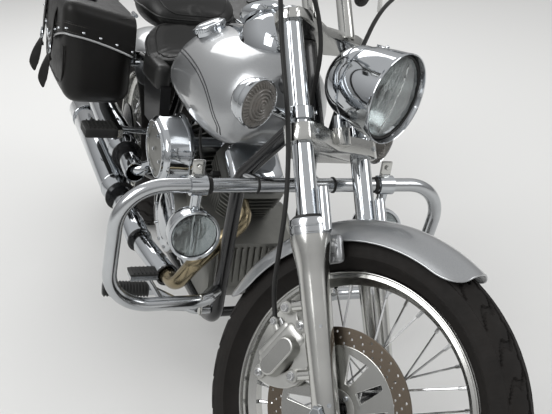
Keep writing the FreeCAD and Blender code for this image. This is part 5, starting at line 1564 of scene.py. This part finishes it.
def saddlebag(side, word, sizes):
    """Leather bag with its flap lid, piping, studs, stitches, straps and buckles."""
    body = rounded_box((-18, 167, 530), (398, 357, 830), 44, (26, 16, 24), (4, 6, 3))
    sagged = [p - Vector((0, 0, 5 * max(0.0, 1 - ((p.x - BAG_MID) / 200) ** 2) * (p.z < 600))) for p in body[0]]
    sheet(word + "_bag_leather", mirrored((sagged, body[1]), side), lambda c: c.z < BAG_MOUTH, LEATHER, CHASSIS,
          black_leather, "chassis", (word + "_bag",))
    seam = []
    for k in range(41):
        a = math.pi * (k / 40 - 1)
        x, z = BAG_MID + 180 * math.copysign(abs(math.cos(a)) ** 0.4, math.cos(a)), 690 + 122 * -abs(math.sin(a)) ** 0.4
        swell = (1 - ((x - BAG_MID) / 208) ** 2) * (1 - ((z - 680) / 150) ** 2)
        seam.append(Vector((x, 357.4 + 6 * swell, z)))
    make(word + "_bag_welt", [mirrored(tube(seam, 2.4, 8), side)], CHASSIS, black_leather, "chassis")
    lid_body = word + "_lid"
    sheet(word + "_lid_leather", mirrored(lid_shape(), side), lambda c: abs(c.y) > BAG_IN, LEATHER, CHASSIS,
          black_leather, lid_body, (word + "_bag_lid",))
    make(word + "_lid_piping", [mirrored(tube(flap_loop(0, 0.6), 3.0, 10), side)], CHASSIS, silver_piping, lid_body)
    seam = mirrored(tube(flap_loop(34, -0.2), 1.8, 8), side)
    make(word + "_lid_seam", [seam], CHASSIS, black_leather, lid_body)
    flipped = [Vector((p.x, side * p.y, p.z)) for p in flap_loop(15, 0.4)]
    points, faces = stud_head(6.2)
    studs = [([(x, z, y) for x, y, z in points], faces), ([(x, -z, -y) for x, y, z in points], faces)]
    set_along(word + "_lid_studs", [flipped], studs, sizes.stud_pitch * 1000, CHASSIS, chrome, lid_body)
    stitch = tube([(-2.6, 0, 0), (-1.6, 0, 0.5), (1.6, 0, 0.5), (2.6, 0, 0)], 0.7, 5)
    rows = [[Vector((p.x, side * p.y, p.z)) for p in flap_loop(up, 0.5)] for up in (7, 29)]
    set_along(word + "_lid_stitches", rows, [stitch], 7.0, CHASSIS, waxed_thread, lid_body)
    knuckles = []
    for x in (60, 320):
        ring = [(5.2, x + 12.4), (5.2, x + 36), (2.9, x + 36), (2.9, x + 12.4)]
        knuckles.append(moved(turn(ring, 20, "X"), 0, 159, 784))
        knuckles.append(rounded_box((x + 12.4, 161, 781.4), (x + 36, 173, 785), 1, (3, 3, 2)))
    make(word + "_lid_knuckles", [mirrored(k, side) for k in knuckles], CHASSIS, chrome, lid_body)
    straps, buckles, keepers = [], [], []
    for at_x, flare, twist in ((96, 14, 62), (284, 10, 50)):
        straps.append(mirrored(strap(at_x, flare, twist), side))
        buckles += [mirrored(piece, side) for piece in buckle(at_x, 385.5, 664)]
        keepers.append(mirrored(rounded_box((at_x - 16, 380, 628), (at_x + 16, 389, 638), 2, (4, 3, 3)), side))
    make(word + "_straps", straps, CHASSIS, black_leather, lid_body)
    make(word + "_strap_keepers", keepers, CHASSIS, black_leather, lid_body)
    make(word + "_buckles", buckles, CHASSIS, chrome, lid_body)


# The rest of the chassis.

def round_cover(name, at, side, r, screws):
    """Domed engine side cover with a stepped rim and a ring of screws."""
    high = 4
    out = [(0.01, high + 5), (r * 0.45, high + 4.4), (r * 0.6, high + 2), (r * 0.66, high - 1), (r * 0.72, high - 1.6),
           (r * 0.78, high + 1), (r * 0.92, high + 0.4), (r * 0.985, high - 2), (r, high - 6), (r, -4), (0.01, -4)]
    place = CHASSIS @ Matrix.Translation(at)
    make(name, [turn([(radius, side * y) for radius, y in out], 72, "Y", False)], place, chrome, "chassis")
    screw = bolt((r * 0.86, side * (high + 0.4), 0), (0, side, 0), 4.4, 5, 12)
    repeated(name + "_screws", [screw], place, spoke_steel, "chassis", screws, 2 * math.pi / screws)


def tilted_place(tilt):
    """Frame of one cylinder: z along its axis from the crankshaft."""
    return CHASSIS @ Matrix.Translation((840, 0, 350)) @ Matrix.Rotation(math.radians(tilt), 4, "Y")


def air_box():
    """Rough cast face, rim band and screws on the chrome air cleaner."""
    skin("air_cleaner", chrome, width=1.2)
    place = CHASSIS @ Matrix.Translation((806, -190, 548)) @ Matrix.Rotation(math.radians(12), 4, "Y")
    plate = loft([racetrack(24, r, y) for y, r in ((1, 56), (-2.4, 56), (-3.4, 55), (-3.4, 44), (-1.4, 42.5))])
    make("air_cleaner_face", [plate], place, engine_alloy, "chassis")
    rim = loft([racetrack(24, r, y) for y, r in ((1, 61), (-3.6, 60.6), (-4.6, 59.4), (-4.6, 57.6), (-1, 56.8))])
    make("air_cleaner_rim", [rim], place, chrome, "chassis")
    screws = [bolt((x, -3.6, z), (0, -1, 0), 4.2, 4, 12)
              for x, z in ((-62, 0), (62, 0), (-24, 49), (24, 49), (-24, -49), (24, -49), (0, 0))]
    make("air_cleaner_screws", screws, place, chrome, "chassis")


def engine():
    """Finned cylinders, crankcase, chrome covers, air cleaner, plug leads and all their screws."""
    skin("cylinders", engine_alloy)
    skin("crankcase", engine_alloy, width=3)
    skin("rocker_covers", chrome, width=3)
    air_box()
    round_cover("clutch_cover", (760, -134, 345), -1, 97, 10)
    round_cover("point_cover", (925, -122, 335), -1, 61, 6)
    round_cover("generator_cover", (890, 136, 340), 1, 91, 9)
    round_cover("drive_cover", (735, 124, 335), 1, 65, 6)
    ribs = rounded_box((1054, -90, 302), (1064, -85, 392), 1.6, (2, 2, 6))
    repeated("crankcase_ribs", [ribs], CHASSIS, engine_alloy, "chassis", 12, step=(0, 16, 0))
    leads = []
    for tilt in (35, -35):
        place = tilted_place(tilt)
        for k, (x, y) in enumerate(((-48, -52), (48, -52), (-48, 52), (48, 52))):
            make("rocker_screw_%d_%d" % (tilt > 0, k), [bolt((x, y, 277), (0, 0, 1), 5, 9)], place, spoke_steel,
                 "chassis", angle=math.radians(20))
        to_chassis = CHASSIS.inverted() @ place
        start, on = to_chassis @ Vector((0, -72, 238)), to_chassis @ Vector((0, -112, 246))
        leads.append(tube(smooth_path([start, on, (840 + 20 * (tilt > 0), -96, 610), (835, -60, 650)], 8), 3.6, 10))
        leads.append(tube([start, start.lerp(on, 0.6)], [8.5, 6.5], 16))
    make("plug_leads", leads, CHASSIS, black_rubber, "chassis")


def pipes():
    """Heat-tinted front header, chrome heat shields with black clamps, and mufflers with rolled ends."""
    headers = skin("exhaust_headers", heated_steel)
    headers.data.materials.append(finish(chrome))
    back = CHASSIS.inverted()
    for face in headers.data.polygons:
        face.material_index = 1 if (back @ face.center).x < 884 else 0
    skin("mufflers", chrome)
    start, knee, end = Vector((985, -182, 291)), Vector((812, -212, 303)), Vector((560, -214, 320))
    shields = [shield(start, knee, 26.5), shield(knee - Vector((-6, 0, 0)), end, 31)]
    shields.append(shield(Vector((622, -190, 412)), Vector((500, -190, 421)), 29))
    make("header_shields", shields, CHASSIS, chrome, "chassis")
    clamps = [band(start, (start - knee), 25, 28.4, 7), band(knee, (start - knee), 26, 32.5, 6),
              band(end, (start - knee), 31, 43, 5), band((505, -190, 421), (1, 0, -0.08), 28, 43, 5)]
    make("header_clamps", clamps, CHASSIS, black_enamel, "chassis")
    screws = []
    for at in (start + Vector((-30, 0, 0)), knee + Vector((-40, 0, 0)), knee + Vector((-190, 0, 0))):
        for turn_by in (-70, 20):
            way = Vector((0, -math.cos(math.radians(turn_by)), math.sin(math.radians(turn_by))))
            screws.append(bolt(at + way * 25, way, 4, 5))
    make("shield_screws", screws, CHASSIS, dark_steel, "chassis")
    ends = []
    for a, b in (((600, -214, 318), (-120, -216, 364)), ((545, -190, 418), (-120, -190, 468))):
        way = (Vector(b) - Vector(a)).normalized()
        ends.append(spun(rim_bead(38.6, 10, 4.4), Vector(b) - way * 4, way, 56, True))
        ends.append(band(Vector(b) - way * 96, way, 41.5, 44, 8))
        ends.append(band(Vector(a) + way * 92, way, 41.5, 43.6, 6))
    make("muffler_bands", ends, CHASSIS, chrome, "chassis")


def shield(a, b, r):
    """Rolled heat shield along a pipe, with turned-in ends."""
    way = (b - a).normalized()
    length = (b - a).length
    return spun([(r - 4, 0), (r - 1.5, 0.4), (r, 3), (r, length - 3), (r - 1.5, length - 0.4), (r - 4, length)], a, way,
                48, True)


def foot_pieces():
    """Rubber pegs with rings, the passengers' rubber blocks and the pedal pad."""
    skin("foot_controls", worn_chrome)
    ring = turn([(15.2, -1.8), (18.2, -1.6), (18.8, 0), (18.2, 1.6), (15.2, 1.8)], 28)
    blocks = []
    for side, word in SIDES:
        inner, outer = Vector((1053, side * 244, 291)), Vector((1041, side * 344, 291))
        way = (outer - inner).normalized()
        place = aimed(CHASSIS, inner, way, (0, 1, 0))
        core = turn([(0.01, -2), (16.4, -2), (16.4, 100), (14, 103), (0.01, 103)], 28, "Y", False)
        make(word + "_peg_rubber", [core], place, black_rubber, "chassis")
        repeated(word + "_peg_rings", [ring], place, black_rubber, "chassis", 15, step=(0, 7, 0))
        low, high = sorted((side * 236, side * 327))
        blocks.append(rounded_box((516, low, 497), (594, high, 526), 8, (8, 10, 6)))
        blocks += [rounded_box((520, side * y - 2, 524), (590, side * y + 2, 529), 1.5, (6, 2, 3))
                   for y in range(246, 322, 11)]
    blocks.append(rounded_box((1084, -304, 361), (1124, -240, 367), 2.5, (6, 8, 3)))
    blocks += [rounded_box((1087, y - 2, 366), (1121, y + 2, 369.4), 1.2, (5, 2, 2)) for y in range(-294, -246, 9)]
    make("foot_rubbers", blocks, CHASSIS, black_rubber, "chassis")


def guard_fittings():
    """Ties, lamp bracket plates and end plates on the crash bar."""
    ties = [band((1240, y, 625), (0, 1, 0), 14.8, 17.4, wide) for y, wide in ((-192, 8), (-88, 5), (84, 5), (184, 8))]
    make("guard_ties", ties, CHASSIS, black_rubber, "chassis")
    plates = []
    for side in (-1, 1):
        y = side * 212
        plates.append(rounded_box((1231, y - 13, 640), (1237, y + 13, 678), 2.8, (3, 6, 8)))
        plates.append(bolt((1237.4, y, 664), (1, 0, 0), 5, 5))
        plates.append(bolt((1240, y - 11, 645.6), (0, 0, 1), 4, 4))
        plates.append(rounded_box((1180, side * 158 - 4, 296), (1196, side * 158 + 4, 344), 3, (4, 3, 6)))
    make("guard_plates", plates, CHASSIS, polished_alloy, "chassis")


def rear_lenses():
    """Red tail lens and smoked rear signal lenses."""
    lamp, bar = math.radians(62), math.radians(48.5)
    cover = 355.5
    seat = REAR_AXLE + Vector((-math.sin(lamp), 0, math.cos(lamp))) * cover
    way = Vector((-0.85, 0, 0.2)).normalized()
    bezel = [(40, 59), (43.5, 60.2), (44.6, 62), (43.5, 64), (40, 64.6)]
    make("tail_bezel", [spun(bezel, seat, way, 56, True)], CHASSIS, chrome, "chassis")
    dome = [(0.01, 71), (14, 70.4), (28, 68), (37, 64.5), (40, 61), (40, 59.6), (0.01, 59.6)]
    make("tail_lens", [spun(dome, seat, way, 56)], CHASSIS, red_lens, "chassis")
    middle = REAR_AXLE + Vector((-math.sin(bar), 0, math.cos(bar))) * (cover + 12)
    for side, word in SIDES:
        place = aimed(CHASSIS, (middle.x - 16, side * 178, middle.z), (-1, 0, 0))
        make(word + "_rear_signal_lens", [ringed_lens(35.6, 4, 7)], place, smoked_lens, "chassis")


def running_gear():
    """Frame, swinging arm, guard, stand, rails, hinges, side covers, foot pieces and rear lamps."""
    for node, look, slot in (
            ("frame", black_enamel, "black_paint"), ("swingarm", black_enamel, "black_paint"),
            ("engine_guard", worn_chrome, "chrome"), ("side_stand", worn_chrome, "chrome"),
            ("fender_rails", chrome, "chrome"), ("bag_hinges", chrome, "chrome"),
            ("rear_lamps", chrome, "chrome"), ("side_covers", black_plastic, "black_paint")):
        skin(node, look)
    foot_pieces()
    guard_fittings()
    rear_lenses()


def rear_cover():
    """Deep rear wheel cover."""
    shapes = fender_surface(REAR_AXLE, inner_r=352.0, half=98.0, skirt=62, front=46, rear=100)
    make("rear_cover", shapes, CHASSIS, silver_paint, "chassis", ("rear_fender",))


# The stage.

def stage(sizes, colours):
    """Pale floor, pale sky and three soft lamps."""
    mesh = bpy.data.meshes.new("studio_floor")
    reach = 30
    mesh.from_pydata([(-reach, -reach, 0), (reach, -reach, 0), (reach, reach, 0), (-reach, reach, 0)], [],
                     [(0, 1, 2, 3)])
    floor = plain_object("studio_floor", mesh)
    made, tree, surface = material("matt_studio_floor", Roughness=0.9)
    surface.inputs["Base Color"].default_value = (*colours.floor, 1)
    mesh.materials.append(made)
    world = bpy.data.worlds.new("studio")
    bpy.context.scene.world = world
    world.use_nodes = True
    tree = world.node_tree
    tree.nodes.clear()
    way = add(tree, "ShaderNodeTexCoord").outputs["Generated"]
    height = add(tree, "ShaderNodeSeparateXYZ", {"Vector": way}).outputs["Z"]
    sky = {"Value": height, "From Min": -0.05, "From Max": 0.6, "To Min": 0.35, "To Max": 0.95}
    ramp = add(tree, "ShaderNodeMapRange", sky).outputs["Result"]
    light = add(tree, "ShaderNodeBackground", {"Color": ramp, "Strength": 0.75})
    add(tree, "ShaderNodeOutputWorld", {"Surface": light.outputs[0]})
    for name, at, size, share in (("main_lamp", (1.5, -3.2, 3.6), 2.6, 4.2), ("left_lamp", (2.6, 3.2, 3.0), 2.0, 1.8),
                                  ("back_lamp", (-3.4, 0.2, 3.2), 2.4, 2.2)):
        lamp = bpy.data.lights.new(name, "AREA")
        lamp.size = size
        lamp.energy = sizes.lamp_strength * share
        holder = plain_object(name, lamp)
        holder.location = at
        holder.rotation_euler = (Vector((0, 0, 0.5)) - Vector(at)).to_track_quat("-Z", "Y").to_euler()


# Camera fitted to the photograph: place over the rear wheel's foot in metres, direction in degrees, focus in pixels.
PHOTO_EYE = Vector((2.76415, -0.48352, 1.3152))
PHOTO_AZIMUTH, PHOTO_ELEVATION, PHOTO_ROLL = 160.16, -25.04, -1.67
PHOTO_FOCUS, PHOTO_WIDTH = 849.83, 552
SENSOR = 36.0


def photo_camera():
    """Camera at the place and angle from which the photograph was taken."""
    origin = MAIN.translation
    at = PHOTO_EYE + Vector((origin.x, origin.y, 0))
    azimuth, elevation, roll = (math.radians(v) for v in (PHOTO_AZIMUTH, PHOTO_ELEVATION, PHOTO_ROLL))
    look = Vector((math.cos(elevation) * math.cos(azimuth), math.cos(elevation) * math.sin(azimuth),
                   math.sin(elevation)))
    right = look.cross(Vector((0, 0, 1))).normalized()
    up = right.cross(look)
    side = right * math.cos(roll) + up * math.sin(roll)
    top = up * math.cos(roll) - right * math.sin(roll)
    lens = bpy.data.cameras.new("photo_camera")
    lens.sensor_width = SENSOR
    lens.lens = PHOTO_FOCUS / PHOTO_WIDTH * SENSOR
    lens.clip_start, lens.clip_end = 0.05, 100.0
    camera = plain_object("photo_camera", lens)
    camera.matrix_world = Matrix.Translation(at) @ columns(side, top, -look).to_4x4()
    bpy.context.scene.camera = camera
    bpy.context.scene.view_settings.view_transform = "Standard"


class CRUISER_OT_stage(bpy.types.Operator):
    """Makes the floor, the lamps and the camera."""

    bl_idname = "cruiser.stage"
    bl_label = "Stage"

    def execute(self, context):
        stage(context.scene.cruiser_sizes, context.scene.cruiser_colours)
        photo_camera()
        return {"FINISHED"}


class CRUISER_OT_wheels(bpy.types.Operator):
    """Makes both laced wheels and their tyres."""

    bl_idname = "cruiser.wheels"
    bl_label = "Wheels"

    def execute(self, context):
        sizes = context.scene.cruiser_sizes
        laced_wheel("front", FRONT_HUB, sizes, flange_r=252.0, half=33.0, hub_r=38.0, hub_half=62.0, ring=281.0,
                    tube_r=50.0)
        laced_wheel("rear", REAR_HUB, sizes, flange_r=203.0, half=58.0, hub_r=62.0, hub_half=70.0, ring=241.0,
                    tube_r=85.0)
        return {"FINISHED"}


class CRUISER_OT_brake_disc(bpy.types.Operator):
    """Makes the drilled brake disc."""

    bl_idname = "cruiser.brake_disc"
    bl_label = "Brake disc"

    def execute(self, context):
        brake_disc(context.scene.cruiser_sizes)
        return {"FINISHED"}


class CRUISER_OT_fork(bpy.types.Operator):
    """Makes the fork legs, their clamps and the front wheel's cover."""

    bl_idname = "cruiser.fork"
    bl_label = "Fork"

    def execute(self, context):
        sliders()
        clamps()
        front_cover()
        return {"FINISHED"}


class CRUISER_OT_front_lamps(bpy.types.Operator):
    """Makes the headlight and the front turn signals."""

    bl_idname = "cruiser.front_lamps"
    bl_label = "Front lamps"

    def execute(self, context):
        headlamp()
        signal_lamps()
        return {"FINISHED"}


class CRUISER_OT_controls(bpy.types.Operator):
    """Makes the bar, its controls and cables, and the brake caliper."""

    bl_idname = "cruiser.controls"
    bl_label = "Bar and controls"

    def execute(self, context):
        bar_controls()
        control_cables()
        caliper()
        return {"FINISHED"}


class CRUISER_OT_tank(bpy.types.Operator):
    """Makes the tank, its stripes, gauge and cap."""

    bl_idname = "cruiser.tank"
    bl_label = "Tank"

    def execute(self, context):
        tank()
        console()
        cap()
        return {"FINISHED"}


class CRUISER_OT_seats(bpy.types.Operator):
    """Makes both padded seats."""

    bl_idname = "cruiser.seats"
    bl_label = "Seats"

    def execute(self, context):
        seats()
        return {"FINISHED"}


class CRUISER_OT_saddlebags(bpy.types.Operator):
    """Makes both saddlebags."""

    bl_idname = "cruiser.saddlebags"
    bl_label = "Saddlebags"

    def execute(self, context):
        for side, word in SIDES:
            saddlebag(side, word, context.scene.cruiser_sizes)
        return {"FINISHED"}


class CRUISER_OT_engine(bpy.types.Operator):
    """Makes the engine and its exhaust."""

    bl_idname = "cruiser.engine"
    bl_label = "Engine"

    def execute(self, context):
        engine()
        pipes()
        return {"FINISHED"}


class CRUISER_OT_chassis(bpy.types.Operator):
    """Makes the frame, guards, stand, foot pieces, rear cover and spot lamps."""

    bl_idname = "cruiser.chassis"
    bl_label = "Chassis"

    def execute(self, context):
        running_gear()
        rear_cover()
        spot_lights()
        return {"FINISHED"}


STEPS = [CRUISER_OT_stage, CRUISER_OT_wheels, CRUISER_OT_brake_disc, CRUISER_OT_fork, CRUISER_OT_front_lamps,
         CRUISER_OT_controls, CRUISER_OT_tank, CRUISER_OT_seats, CRUISER_OT_saddlebags, CRUISER_OT_engine,
         CRUISER_OT_chassis]


class CRUISER_PT_build(bpy.types.Panel):
    """Lists the pieces that can be built."""

    bl_idname = "CRUISER_PT_build"
    bl_label = "Cruiser motorcycle"
    bl_space_type = "VIEW_3D"
    bl_region_type = "UI"
    bl_category = "Cruiser"

    def draw(self, context):
        """One button for each step."""
        for step in STEPS:
            self.layout.operator(step.bl_idname)


CLASSES = [CruiserSizes, CruiserColours] + STEPS + [CRUISER_PT_build]


def register():
    """Registers the classes and hangs the sizes and colours on the scene."""
    for made in CLASSES:
        bpy.utils.register_class(made)
    bpy.types.Scene.cruiser_sizes = bpy.props.PointerProperty(type=CruiserSizes)
    bpy.types.Scene.cruiser_colours = bpy.props.PointerProperty(type=CruiserColours)


def unregister():
    """Undoes register."""
    del bpy.types.Scene.cruiser_colours
    del bpy.types.Scene.cruiser_sizes
    for made in reversed(CLASSES):
        bpy.utils.unregister_class(made)


def main():
    """Builds the whole motorcycle and its stage."""
    register()
    for step in STEPS:
        getattr(bpy.ops.cruiser, step.bl_idname.split(".")[1])()


if __name__ == "__main__":
    main()
